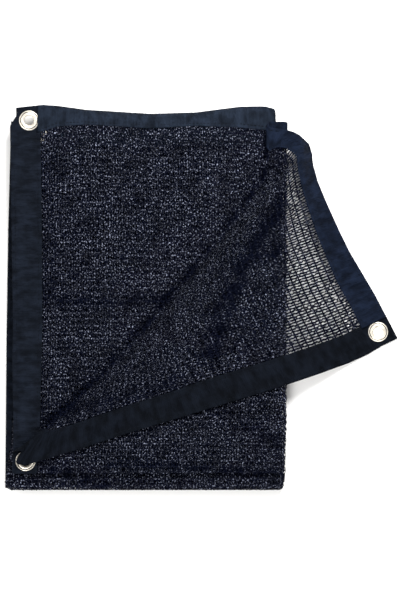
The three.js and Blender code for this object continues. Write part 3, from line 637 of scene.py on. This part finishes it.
# Material nodes
class Nodes:
    """A material's node tree, with short calls for the nodes that it needs."""

    def __init__(self, name):
        self.material = bpy.data.materials.new(name)
        self.material.use_nodes = True
        self.tree = self.material.node_tree
        self.shader = self.tree.nodes["Principled BSDF"]

    def add(self, kind, inputs=None, **settings):
        node = self.tree.nodes.new(kind)
        for key, value in settings.items():
            setattr(node, key, value)
        for key, value in (inputs or {}).items():
            if isinstance(value, bpy.types.NodeSocket):
                self.tree.links.new(value, node.inputs[key])
            else:
                node.inputs[key].default_value = value
        return node

    def put(self, socket, value):
        if isinstance(value, bpy.types.NodeSocket):
            self.tree.links.new(value, self.shader.inputs[socket])
        else:
            self.shader.inputs[socket].default_value = value

    def cloth_place(self, scale):
        """The place on the flat cloth, in metres, times a scale for each direction."""
        uv = self.add("ShaderNodeUVMap", uv_map="cloth")
        inputs = {0: uv.outputs["UV"], 1: scale}
        return self.add("ShaderNodeVectorMath", inputs, operation="MULTIPLY").outputs[0]

    def noise(self, place, scale, detail=2.0, roughness=0.5):
        return self.add("ShaderNodeTexNoise", {"Vector": place, "Scale": scale, "Detail": detail,
                                               "Roughness": roughness}).outputs["Fac"]

    def ramp(self, value, stops):
        node = self.add("ShaderNodeValToRGB", {"Fac": value})
        elements = node.color_ramp.elements
        while len(elements) < len(stops):
            elements.new(0.5)
        for element, (position, color) in zip(elements, stops):
            element.position = position
            element.color = (*color, 1) if len(color) == 3 else color
        return node.outputs["Color"]

    def range(self, value, low, high, to_low, to_high):
        return self.add("ShaderNodeMapRange", {"Value": value, "From Min": low, "From Max": high,
                                               "To Min": to_low, "To Max": to_high}).outputs["Result"]

    def math(self, operation, a, b=0.0):
        return self.add("ShaderNodeMath", {0: a, 1: b}, operation=operation).outputs[0]

    def blend(self, share, a, b, mode="MIX"):
        node = self.add("ShaderNodeMix", data_type="RGBA", blend_type=mode)
        for socket, value in ((0, share), (6, a), (7, b)):
            if isinstance(value, bpy.types.NodeSocket):
                self.tree.links.new(value, node.inputs[socket])
            else:
                node.inputs[socket].default_value = value if socket == 0 else (*value, 1)
        return node.outputs[2]

    def bump(self, height, distance, strength=1.0, under=None):
        inputs = {"Height": height, "Distance": distance, "Strength": strength}
        if under is not None:
            inputs["Normal"] = under
        return self.add("ShaderNodeBump", inputs).outputs["Normal"]


def scaled(color, factor):
    return tuple(min(1.0, channel * factor) for channel in color[:3])


def scaled_each(color, factors):
    return tuple(min(1.0, channel * factor) for channel, factor in zip(color, factors))


# Each tape's colour against the tape colour, as painted light: the back top tape is a lit copy,
# lighter, and the front top tape a lighter, bluer copy. The turned corner's short hem, which shows
# the tape's other face, gets painted shade: it is darker than the rest of the left tape
TAPE_PAINTED_LIGHT = {
    "tape_left": (1, 1, 1),
    "tape_end": (1, 1, 1),
    "tape_top_back": (1.7, 1.8, 1.8),
    "tape_top_front": (0.95, 1.12, 1.45),
}
SHORT_HEM_PAINTED_SHADE = 0.6


def knit_material(settings):
    """Black yarn whose facets catch the light, with glints also painted into its colour here and there, and
    painted shade that takes glints and gloss away in the creases and along the fold's edge.
    """
    nodes = Nodes("black_knit")
    color = tuple(settings.knit_color)
    painted_glint = tuple(settings.painted_glint_color)
    cloth = nodes.cloth_place((1, 1, 1))
    # Painted shade, kept on the mesh's points: it dims the painted glints and the gloss, and under 0 it is
    # a painted highlight that raises them
    painted_shade = nodes.add("ShaderNodeAttribute", attribute_name="painted_shade").outputs["Fac"]
    painted_lit = nodes.math("SUBTRACT", 1.0, nodes.math("MULTIPLY", painted_shade, 0.88))
    # Glints painted into the colour in small spots; the same noise also sets the roughness
    painted_glints_and_roughness = nodes.noise(cloth, 480, 2.0, 0.6)
    patches = nodes.noise(cloth, 45, 3.0, 0.6)
    painted_glint_spots = nodes.range(painted_glints_and_roughness, 0.565, 0.74, 0, 1)
    painted_glint_mask = nodes.math("MULTIPLY", painted_glint_spots, nodes.range(patches, 0.35, 0.62, 0.3, 1))
    base = nodes.ramp(patches, [(0.3, scaled(color, 0.7)), (0.7, scaled(color, 1.5))])
    nodes.put("Base Color", nodes.blend(nodes.math("MULTIPLY", painted_glint_mask, painted_lit), base, painted_glint))
    nodes.put("Roughness", nodes.range(painted_glints_and_roughness, 0.35, 0.65, 0.3, 0.16))
    streaks = nodes.noise(nodes.cloth_place((2400, 160, 1)), 1.0, 2.0)
    crinkles = nodes.noise(cloth, 330, 0.0, 0.5)
    nodes.put("Normal", nodes.bump(crinkles, 0.004, 1.0, nodes.bump(streaks, 0.0002, 0.3)))
    # Gloss lowered by the painted shade
    nodes.put("Specular IOR Level", nodes.math("MULTIPLY", painted_lit, 0.034))
    return nodes.material


def tape_material(settings, name, cross):
    """Woven polyester tape: fine ribs across it and yarns along it, with painted shade and painted
    highlight on its wrinkles, and each tape's copy of the colour lighter or darker as painted light.
    """
    nodes = Nodes("woven_" + name)
    # Each tape's copy of the colour, lighter, darker or bluer as painted light
    color = scaled_each(settings.tape_color, TAPE_PAINTED_LIGHT[name])
    ribs_place = nodes.cloth_place((0, 1, 0) if cross else (1, 0, 0))
    yarn_place = nodes.cloth_place((1, 0, 0) if cross else (0, 1, 0))
    cloth = nodes.cloth_place((1, 1, 1))
    ribs = nodes.add("ShaderNodeTexWave", {"Vector": ribs_place, "Scale": 150.0, "Distortion": 0.6,
                                           "Detail": 1.0, "Detail Scale": 2.0},
                     wave_type="BANDS", bands_direction="Y" if cross else "X").outputs["Fac"]
    yarns = nodes.add("ShaderNodeTexWave", {"Vector": yarn_place, "Scale": 220.0, "Distortion": 0.4},
                      wave_type="BANDS", bands_direction="X" if cross else "Y").outputs["Fac"]
    weave = nodes.math("MULTIPLY", ribs, yarns)
    wear = nodes.noise(cloth, 42, 4.0, 0.65)
    lint = nodes.noise(cloth, 900, 2.0, 0.7)
    wrinkles_and_painted_shade = nodes.noise(nodes.cloth_place((55, 120, 1) if cross else (120, 55, 1)), 1.0, 2.0, 0.55)
    base = nodes.ramp(wear, [(0.3, scaled(color, 0.45)), (0.7, scaled(color, 1.8))])
    # Painted shade in the wrinkles' troughs and painted highlight on their crests, from the noise that also
    # bumps them
    base = nodes.blend(nodes.range(wrinkles_and_painted_shade, 0.33, 0.5, 0.7, 0), base, scaled(color, 0.35))
    base = nodes.blend(nodes.range(wrinkles_and_painted_shade, 0.52, 0.7, 0, 0.5), base, scaled(color, 2.2))
    base = nodes.blend(nodes.range(weave, 0, 1, 0.35, 0), base, scaled(color, 0.35))
    base = nodes.blend(nodes.range(lint, 0.62, 0.8, 0, 0.35), base, scaled(color, 3.2))
    # Painted shade on the turned corner's short hem
    if name == "tape_left":
        place = nodes.add("ShaderNodeSeparateXYZ", {0: cloth}).outputs[1]
        turned = nodes.range(place, (CREASE_START[1] - 10) * MM, (CREASE_START[1] + 10) * MM, 0, 1)
        base = nodes.blend(turned, base, (SHORT_HEM_PAINTED_SHADE,) * 3, "MULTIPLY")
    nodes.put("Base Color", base)
    nodes.put("Roughness", nodes.range(wear, 0.3, 0.7, 0.72, 0.9))
    fine = nodes.bump(weave, 0.00025, 0.8)
    creased = nodes.bump(wrinkles_and_painted_shade, 0.004, 1.0, fine)
    nodes.put("Normal", nodes.bump(lint, 0.00015, 0.4, creased))
    nodes.put("Specular IOR Level", 0.03)
    return nodes.material


def thread_material(settings):
    """Twisted sewing thread, a little darker than the tape."""
    nodes = Nodes("sewing_thread")
    color = scaled(settings.tape_color, 0.8)
    place = nodes.add("ShaderNodeTexCoord").outputs["Object"]
    twist = nodes.add("ShaderNodeTexWave", {"Vector": place, "Scale": 900.0, "Distortion": 2.0},
                      wave_type="BANDS", bands_direction="DIAGONAL").outputs["Fac"]
    nodes.put("Base Color", nodes.ramp(twist, [(0.2, scaled(color, 0.7)), (0.8, color)]))
    nodes.put("Roughness", 0.7)
    nodes.put("Specular IOR Level", 0.06)
    nodes.put("Normal", nodes.bump(twist, 0.0001, 0.6))
    return nodes.material


def eyelet_material(settings):
    """Pressed nickel-plated metal, a little cloudy, with small scuffs."""
    nodes = Nodes("nickel_plate")
    color = tuple(settings.eyelet_color)
    place = nodes.add("ShaderNodeTexCoord").outputs["Object"]
    cloudy = nodes.noise(place, 160, 3.0, 0.6)
    scuffs = nodes.noise(place, 1800, 2.0, 0.7)
    nodes.put("Base Color", nodes.ramp(cloudy, [(0.3, scaled(color, 0.86)), (0.7, color)]))
    nodes.put("Metallic", 0.85)
    nodes.put("Roughness", nodes.range(scuffs, 0.35, 0.7, 0.4, 0.52))
    nodes.put("Normal", nodes.bump(scuffs, 0.00003, 0.4, nodes.bump(cloudy, 0.0002, 0.25)))
    return nodes.material


def floor_material(settings):
    nodes = Nodes("pale_floor")
    nodes.put("Base Color", (*settings.floor_color, 1))
    nodes.put("Roughness", 0.9)
    nodes.put("Specular IOR Level", 0.1)
    return nodes.material


# Knit: how far it reaches under the tape, how its rungs sway, lean and lap over each other, how
# high its chains stand, each with its spread, and the most that a rung twists, in radians
KNIT_UNDER_TAPE = 2.2
SWAY_SPREAD, SWAY_ZIGZAG = 0.2, 0.12
LEAN_SPREAD, RUNG_LAP = 0.3, 0.35
CHAIN_HEIGHT, CHAIN_SPREAD = 0.16, 0.1
MOST_TWIST = 1.2
FIRST_SEED = 40


def net_columns(settings, v_from, v_to):
    """v of the columns of a net: each chain's two edges and two places between chains."""
    wale, chain = settings.wale_spacing / MM, settings.chain_width / MM
    count = round((v_to - v_from - chain) / wale)
    chains = np.linspace(v_from + chain / 2, v_to - chain / 2, count + 1)
    gap = chains[1] - chains[0] - chain
    steps = np.array((-chain / 2, chain / 2, chain / 2 + gap / 3, chain / 2 + 2 * gap / 3))
    return (chains[:, None] + steps).ravel()[: 4 * count + 2], count


def knit_net(name, settings, u_from, u_to, v_from, v_to, seed):
    """A real open net of chains and flat rungs that follows the folds between these lines."""
    pitch, width = settings.rung_pitch / MM, settings.rung_width / MM
    rungs = round((u_to - u_from) / pitch)
    starts = np.linspace(u_from, u_to - width, rungs + 1)
    rows = np.stack([starts, starts + width], axis=1).ravel()
    columns, gaps = net_columns(settings, v_from, v_to)
    across = len(columns)
    u = np.repeat(rows, across).reshape(len(rows), across)
    v = np.tile(columns, (len(rows), 1))

    rng = np.random.default_rng(seed)
    kind = np.arange(across) % 4
    every_other = np.where(np.arange(rungs + 1) % 2, 1, -1)[:, None]
    height = np.zeros(u.shape)
    chains = kind < 2
    sway = rng.normal(0, SWAY_SPREAD, (rungs + 1, gaps + 1)) + SWAY_ZIGZAG * every_other
    sway = np.repeat(sway, 2, axis=1)
    for first, lap in ((2, RUNG_LAP), (3, -RUNG_LAP)):
        spots = kind == first
        twist = rng.normal(0, settings.rung_twist, (rungs + 1, gaps))
        lean = rng.normal(0, LEAN_SPREAD, twist.shape) + lap * every_other
        twist = np.clip(twist, -MOST_TWIST, MOST_TWIST)
        narrow = width / 2 * (1 - np.cos(twist))
        for side, sign in ((0, -1), (1, 1)):
            u[side::2, spots] += lean - sign * narrow
            height[side::2, spots] += sign * np.sin(twist) * width / 2
    for side in (0, 1):
        u[side::2, chains] += sway
    stand = rng.normal(CHAIN_HEIGHT, CHAIN_SPREAD, (len(rows), gaps + 1))
    height[:, chains] += np.repeat(stand, 2, axis=1)
    u = np.clip(u, u_from, u_to)

    place, normal = surface_frame(u.ravel(), v.ravel())
    points = place + normal * (height.ravel() * MM)[:, None]
    points[:, 2] = np.maximum(points[:, 2], GROUND_GAP * MM)

    index = np.arange(len(rows) * across).reshape(len(rows), across)
    corners = (index[:-1, :-1], index[1:, :-1], index[1:, 1:], index[:-1, 1:])
    quads = [np.stack(corners, axis=-1)[0::2].reshape(-1, 4)]
    chain_left = np.flatnonzero(kind == 0)
    gap_rows = np.arange(1, len(rows) - 1, 2)
    low, high = index[gap_rows][:, chain_left], index[gap_rows + 1][:, chain_left]
    quads.append(np.stack([low, high, high + 1, low + 1], axis=-1).reshape(-1, 4))
    yarn_area = (rungs + 1) * width * (v_to - v_from) + (gaps + 1) * (columns[1] - columns[0]) * (
        u_to - u_from - (rungs + 1) * width)
    uv = np.stack([u.ravel(), v.ravel()], axis=1) * MM
    # Painted shade along the creases and the fold's edge, and painted highlight on crests
    painted_shade = painted_shade_at((points - PACK_ORIGIN) / MM)
    net = mesh_object(name, points, np.concatenate(quads), uv, smooth_faces=False, painted_shade=painted_shade)
    return net, yarn_area * MM**2


# Tapes
def tape_lines(first, last, step, fine):
    """Places along a tape, closer together in the stretches that are folded tightly."""
    lines = [np.linspace(first, last, round((last - first) / step) + 1)]
    for low, high, fine_step in fine:
        lines.append(np.arange(max(low, first), min(high, last), fine_step))
    merged = np.unique(np.round(np.concatenate(lines), 3))
    return merged[np.concatenate([[True], np.diff(merged) > 0.25])]


def tape_section(width):
    """Places across a tape and heights over its middle, round its section."""
    edge = 0.55
    groove = STITCH_INSET + np.array((-0.8, 0, 0.8))
    inner = np.concatenate([(edge,), groove, (9, 16, 23), width - groove[::-1], (width - edge,)])
    sunk = np.where((inner == STITCH_INSET) | (inner == width - STITCH_INSET), STITCH_GROOVE, 0)
    top = [(at, TAPE_THICK / 2 - dip) for at, dip in zip(inner, sunk)]
    bottom = [(at, -height) for at, height in reversed(top)]
    return np.array([(0.12, 0.5), *top, (width - 0.12, 0.5), (width, 0), (width - 0.12, -0.5),
                     *bottom, (0.12, -0.5), (0, 0)])


def tape_strip(name, along, across_start, lengthwise_v):
    """A closed tape along one line of the cloth. Its section starts at across_start."""
    section = tape_section(TAPE_WIDTH)
    count, sides = len(along), len(section)
    run = np.repeat(along, sides)
    across = across_start + np.tile(section[:, 0], count)
    height = np.tile(section[:, 1], count)
    u, v = (across, run) if lengthwise_v else (run, across)
    place, normal = surface_frame(u, v)
    free = free_above((place - PACK_ORIGIN) / MM)
    in_tape = np.tile(section[:, 0], count)
    middle = np.sin(np.clip(in_tape / TAPE_WIDTH, 0, 1) * math.pi) ** 0.6
    puckers = tape_puckers[name](run, in_tape) * free * (0.45 + 0.55 * middle) * clear_of_eyelets(u, v)
    if not lengthwise_v:
        from_end = np.minimum(run, CLOTH_LENGTH - run)
        height = height - END_SINK * smooth((TAPE_WIDTH + END_SINK_RUN - from_end) / END_SINK_RUN)
    points = place + normal * (height * MM)[:, None]
    points[:, 2] += np.maximum(puckers, -0.7) * MM
    points[:, 2] = np.maximum(points[:, 2], GROUND_GAP * MM)

    index = np.arange(count * sides).reshape(count, sides)
    after = np.roll(index, -1, axis=1)
    quads = np.stack([index[:-1], after[:-1], after[1:], index[1:]], axis=-1).reshape(-1, 4)
    faces = [list(face) for face in quads]
    faces.append(list(index[0][::-1]))
    faces.append(list(index[-1]))
    obj = mesh_object(name + "_strip", points, faces, np.stack([u, v], axis=1) * MM)
    face_outwards(obj)
    return obj


TAPES = {
    "tape_left": {"across": 0, "lengthwise_v": True},
    "tape_end": {"across": CLOTH_LENGTH - TAPE_WIDTH, "lengthwise_v": True},
    "tape_top_back": {"across": 0, "lengthwise_v": False},
    "tape_top_front": {"across": CLOTH_WIDTH - TAPE_WIDTH, "lengthwise_v": False},
}


def tape_run(name):
    """Where a tape starts and ends, and its tightly folded stretches."""
    if TAPES[name]["lengthwise_v"]:
        fine = [(BACK_FLAT - 3, FRONT_FLAT + 3, 0.6)]
        if name == "tape_left":
            fine.append((CREASE_START[1] - 8, CREASE_START[1] + 70, 1.1))
        return 0, CLOTH_WIDTH, fine
    fine = [(end - 2, end + PANEL_TURN + 2, 0.9) for end in PANEL_ENDS[:-1]]
    if name == "tape_top_front":
        fine.append((CREASE_END[0] - 60, CREASE_END[0] + 20, 1.2))
    return TAPE_WIDTH - TAPE_OVERLAP, CLOTH_LENGTH - TAPE_WIDTH + TAPE_OVERLAP, fine


def on_tape(name, u, v):
    """Whether a tape holds the eyelet at this place. The short tapes hold those of the corners."""
    start = TAPES[name]["across"]
    if TAPES[name]["lengthwise_v"]:
        return start < u < start + TAPE_WIDTH
    return start < v < start + TAPE_WIDTH and abs(u - CLOTH_LENGTH / 2) < 1


def cut_eyelet_holes(obj, name):
    """Opens the tape where an eyelet's barrel passes through it."""
    for eyelet, (u, v) in EYELETS.items():
        if not on_tape(name, u, v):
            continue
        low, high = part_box(eyelet)
        bpy.ops.mesh.primitive_cylinder_add(
            vertices=40, radius=HOLE_RADIUS * MM, depth=HOLE_CUT_DEPTH * MM, location=(low + high) / 2)
        cutter = bpy.context.object
        cut = obj.modifiers.new("hole", "BOOLEAN")
        cut.operation, cut.solver, cut.object = "DIFFERENCE", "EXACT", cutter
        bpy.context.view_layer.objects.active = obj
        bpy.ops.object.modifier_apply(modifier=cut.name)
        bpy.data.objects.remove(cutter)


# Sewing
def stitch_row(run, across, lengthwise_v, side, settings):
    """Points and quads of a row of stitches along a tape, on its upper (1) or lower (-1) face."""
    length, pitch = settings.stitch_length / MM, settings.stitch_pitch / MM
    centres = np.arange(run[0] + pitch, run[1] - pitch, pitch)
    rings = ((-0.5, 0.02, -0.05), (-0.3, 0.26, 0.08), (0.3, 0.26, 0.08), (0.5, 0.02, -0.05))
    sides = 6
    points = []
    for share, radius, rise in rings:
        at = centres + share * length
        cross = np.full(len(at), float(across))
        u, v = (cross, at) if lengthwise_v else (at, cross)
        place, normal = surface_frame(u, v)
        ahead = surface_frame(*((cross, at + 0.5) if lengthwise_v else (at + 0.5, cross)))[0]
        forward = ahead - place
        forward /= np.linalg.norm(forward, axis=1, keepdims=True)
        sideways = np.cross(forward, normal)
        seat = TAPE_THICK / 2 - STITCH_GROOVE + rise
        middle = place + normal * (side * seat * MM)
        for k in range(sides):
            turn = math.tau * k / sides
            out = sideways * math.cos(turn) + normal * math.sin(turn)
            points.append(middle + out * (radius * STITCH_FULLNESS * MM))
    points = np.stack(points, axis=1)
    stitches = len(centres)
    block = []
    for ring in range(len(rings) - 1):
        for k in range(sides):
            here, there = ring * sides + k, ring * sides + (k + 1) % sides
            block.append((here, there, there + sides, here + sides))
    block = np.array(block)
    per = len(rings) * sides
    quads = (block[None] + (np.arange(stitches) * per)[:, None, None]).reshape(-1, 4)
    return points.reshape(-1, 3), quads


# Eyelets
def eyelet_section():
    """Radius and height round an eyelet's metal, in millimetres: a rolled rim, a groove and a dish."""
    rim, roll, half = 12.0, 0.75, 1.3
    turns = [math.radians(angle) for angle in range(-60, 181, 20)]
    rolled = [(rim - roll + roll * math.cos(turn), half - roll + roll * math.sin(turn)) for turn in turns]
    groove = [(10.35, 0.3), (10.0, 0.22), (9.6, 0.42)]
    dish = [(9.0, 0.74), (8.3, 0.86), (7.6, 0.8), (7.0, 0.55), (6.4, 0.12), (6.0, -0.3), (5.8, -0.9)]
    under = [(6.4, -1.2), (7.6, -1.3), (11.2, -1.3), (11.9, -0.9), (11.4, -0.4)]
    return rolled + groove + dish + under


def eyelet_mesh(name, centre, segments=96):
    section = np.array(eyelet_section())
    count = len(section)
    turn = np.arange(segments) * math.tau / segments
    radius = section[:, 0]
    x = np.outer(np.cos(turn), radius)
    y = np.outer(np.sin(turn), radius)
    z = np.tile(section[:, 1], (segments, 1))
    points = np.stack([x, y, z], axis=-1).reshape(-1, 3) * MM + np.array(centre)
    index = np.arange(segments * count).reshape(segments, count)
    after, ahead = np.roll(index, -1, axis=1), np.roll(index, -1, axis=0)
    both = np.roll(after, -1, axis=0)
    quads = np.stack([index, ahead, both, after], axis=-1).reshape(-1, 4)
    obj = mesh_object(name, points, quads)
    face_outwards(obj)
    return obj


class ShadeClothSettings(bpy.types.PropertyGroup):
    """Sizes and colours of the shade cloth"""

    knit_color: bpy.props.FloatVectorProperty(
        name="Knit colour", description="Colour of the knit's yarn", subtype="COLOR",
        size=3, min=0, max=1, default=(0.0015, 0.0021, 0.0058))
    # Glints painted into the knit's colour
    painted_glint_color: bpy.props.FloatVectorProperty(
        name="Glint colour", description="Colour of the yarn's brightest facets", subtype="COLOR",
        size=3, min=0, max=1, default=(0.34, 0.37, 0.48))
    tape_color: bpy.props.FloatVectorProperty(
        name="Tape colour", description="Colour of the hem tape", subtype="COLOR",
        size=3, min=0, max=1, default=(0.005, 0.0068, 0.0112))
    eyelet_color: bpy.props.FloatVectorProperty(
        name="Eyelet colour", description="Colour of the eyelets' plating", subtype="COLOR",
        size=3, min=0, max=1, default=(0.74, 0.69, 0.6))
    floor_color: bpy.props.FloatVectorProperty(
        name="Floor colour", description="Colour of the floor", subtype="COLOR",
        size=3, min=0, max=1, default=(0.92, 0.91, 0.895))
    wale_spacing: bpy.props.FloatProperty(
        name="Chain spacing", description="Distance between the knit's chains", unit="LENGTH",
        default=0.0076, min=0.004, max=0.03, precision=4)
    chain_width: bpy.props.FloatProperty(
        name="Chain width", description="Width of each knitted chain", unit="LENGTH",
        default=0.0017, min=0.0005, max=0.004, precision=4)
    rung_pitch: bpy.props.FloatProperty(
        name="Rung pitch", description="Distance between the flat yarns laid across", unit="LENGTH",
        default=0.0034, min=0.0015, max=0.01, precision=5)
    rung_width: bpy.props.FloatProperty(
        name="Rung width", description="Width of a flat yarn laid across", unit="LENGTH",
        default=0.0025, min=0.0005, max=0.008, precision=4)
    rung_twist: bpy.props.FloatProperty(
        name="Rung twist", description="How far the flat yarns twist to either side", subtype="ANGLE",
        default=0.5, min=0, max=1.5)
    stitch_length: bpy.props.FloatProperty(
        name="Stitch length", description="Length of a stitch that shows", unit="LENGTH",
        default=0.0034, min=0.001, max=0.01, precision=4)
    stitch_pitch: bpy.props.FloatProperty(
        name="Stitch pitch", description="Distance from stitch to stitch", unit="LENGTH",
        default=0.0048, min=0.001, max=0.02, precision=4)
    key_power: bpy.props.FloatProperty(
        name="Key light", description="Power of the main soft light", unit="POWER",
        default=42, min=0, max=1000)
    fill_power: bpy.props.FloatProperty(
        name="Fill light", description="Power of each soft light at the sides", unit="POWER",
        default=19, min=0, max=1000)


# Soft lights round the key light: name, place in metres and share of the fill power
FILL_LIGHTS = (
    ("left_light", (-1.8, 0.3, 1.5), 1.0),
    ("right_light", (1.6, -0.9, 1.6), 1.0),
    ("front_light", (-0.6, -1.8, 1.6), 2.7),
)


def area_light(name, location, size, power):
    """A square soft light that points at the middle of the part's base."""
    light = bpy.data.lights.new(name, "AREA")
    light.shape, light.size, light.energy = "SQUARE", size, power
    obj = bpy.data.objects.new(name, light)
    bpy.context.scene.collection.objects.link(obj)
    obj.location = location
    obj.rotation_euler = (-Vector(location)).to_track_quat("-Z", "Y").to_euler()
    return obj


class SHADECLOTH_OT_stage(bpy.types.Operator):
    """Adds the floor, the lights and the camera over the pack"""

    bl_idname = "shade_cloth.stage"
    bl_label = "Stage"

    def execute(self, context):
        settings = context.scene.shade_cloth
        context.scene.view_settings.view_transform = "Standard"
        size = 6.0
        corners = [(-size, -size, 0), (size, -size, 0), (size, size, 0), (-size, size, 0)]
        floor = mesh_object("floor", np.array(corners) + np.array((0, 0, -0.0002)),
                            np.array([[0, 1, 2, 3]]), smooth_faces=False)
        floor.data.materials.append(floor_material(settings))

        area_light("key_light", (0.3, 1.0, 1.05), 0.6, settings.key_power)
        for name, location, share in FILL_LIGHTS:
            area_light(name, location, 1.0, share * settings.fill_power)
        world = bpy.data.worlds.new("studio")
        world.use_nodes = True
        background = world.node_tree.nodes["Background"]
        background.inputs["Color"].default_value = (0.95, 0.97, 1, 1)
        background.inputs["Strength"].default_value = 0.13
        context.scene.world = world

        # The photograph's frame is 400 by 600 pixels, and one pixel is 1.2 mm on the pack
        pixel = 1.2 * MM
        view_height = 600 * pixel
        centre = PACK_ORIGIN[:2] + np.array((200 * pixel, (491 - 300) * pixel))
        distance, half_pack = 5.0, 0.018
        camera = bpy.data.cameras.new("camera")
        camera.sensor_width = 36
        camera.lens = camera.sensor_width * (distance - half_pack) / view_height
        camera.clip_end = 50
        obj = bpy.data.objects.new("camera", camera)
        context.scene.collection.objects.link(obj)
        obj.location = (centre[0], centre[1], distance)
        context.scene.camera = obj
        return {"FINISHED"}


class SHADECLOTH_OT_knit(bpy.types.Operator):
    """Adds the knitted cloth, one net for each panel of the fold"""

    bl_idname = "shade_cloth.knit"
    bl_label = "Knit"

    def execute(self, context):
        settings = context.scene.shade_cloth
        material = knit_material(settings)
        inside = TAPE_WIDTH - KNIT_UNDER_TAPE
        edges = [inside, *PANEL_STARTS[1:], CLOTH_LENGTH - inside]
        for k, name in enumerate(("knit_top", "knit_second", "knit_third", "knit_bottom")):
            u_from, u_to = edges[k], edges[k + 1]
            net, yarn_area = knit_net(
                name, settings, u_from, u_to, inside, CLOTH_WIDTH - inside, FIRST_SEED + k)
            dress(net, material)
            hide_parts("knit_panel")
        return {"FINISHED"}


class SHADECLOTH_OT_tapes(bpy.types.Operator):
    """Adds the four woven tapes that bind the cloth's hems"""

    bl_idname = "shade_cloth.tapes"
    bl_label = "Tapes"

    def execute(self, context):
        settings = context.scene.shade_cloth
        for name, tape in TAPES.items():
            first, last, fine = tape_run(name)
            lines = tape_lines(first, last, TAPE_STEP, fine)
            strip = tape_strip(name, lines, tape["across"], tape["lengthwise_v"])
            cut_eyelet_holes(strip, name)
            dress(strip, tape_material(settings, name, tape["lengthwise_v"]))
            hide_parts(name)
        return {"FINISHED"}


class SHADECLOTH_OT_stitching(bpy.types.Operator):
    """Adds the rows of stitches along both edges of each tape"""

    bl_idname = "shade_cloth.stitching"
    bl_label = "Stitching"

    def execute(self, context):
        settings = context.scene.shade_cloth
        material = thread_material(settings)
        for name, tape in TAPES.items():
            first, last, _ = tape_run(name)
            points, quads, count = [], [], 0
            for inset in (STITCH_INSET, TAPE_WIDTH - STITCH_INSET):
                for side in (-1, 1):
                    at, lengthwise_v = tape["across"] + inset, tape["lengthwise_v"]
                    row_points, row_quads = stitch_row((first, last), at, lengthwise_v, side, settings)
                    points.append(row_points)
                    quads.append(row_quads + count)
                    count += len(row_points)
            row_name = name.replace("tape", "stitches")
            rows = mesh_object(row_name, np.concatenate(points), np.concatenate(quads))
            dress(rows, material)
        return {"FINISHED"}


class SHADECLOTH_OT_eyelets(bpy.types.Operator):
    """Adds the eyelets with their rolled flanges"""

    bl_idname = "shade_cloth.eyelets"
    bl_label = "Eyelets"

    def execute(self, context):
        material = eyelet_material(context.scene.shade_cloth)
        for name in EYELETS:
            low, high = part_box(name)
            eyelet = eyelet_mesh(name + "_metal", (low + high) / 2 + Vector((0, 0, 0.0004)))
            dress(eyelet, material)
            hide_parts(name)
        return {"FINISHED"}


OPERATORS = (SHADECLOTH_OT_stage, SHADECLOTH_OT_knit, SHADECLOTH_OT_tapes, SHADECLOTH_OT_stitching,
             SHADECLOTH_OT_eyelets)


class SHADECLOTH_PT_panel(bpy.types.Panel):
    """Settings and steps of the shade cloth"""

    bl_label = "Shade cloth"
    bl_idname = "SHADECLOTH_PT_panel"
    bl_space_type = "VIEW_3D"
    bl_region_type = "UI"
    bl_category = "Shade cloth"

    def draw(self, context):
        settings = context.scene.shade_cloth
        for name in ShadeClothSettings.__annotations__:
            self.layout.prop(settings, name)
        for operator in OPERATORS:
            self.layout.operator(operator.bl_idname)


CLASSES = (ShadeClothSettings, *OPERATORS, SHADECLOTH_PT_panel)


def register():
    for cls in CLASSES:
        bpy.utils.register_class(cls)
    bpy.types.Scene.shade_cloth = bpy.props.PointerProperty(type=ShadeClothSettings)


def unregister():
    del bpy.types.Scene.shade_cloth
    for cls in reversed(CLASSES):
        bpy.utils.unregister_class(cls)


def main():
    register()
    bpy.ops.shade_cloth.stage()
    bpy.ops.shade_cloth.knit()
    bpy.ops.shade_cloth.tapes()
    bpy.ops.shade_cloth.stitching()
    bpy.ops.shade_cloth.eyelets()


if __name__ == "__main__":
    main()
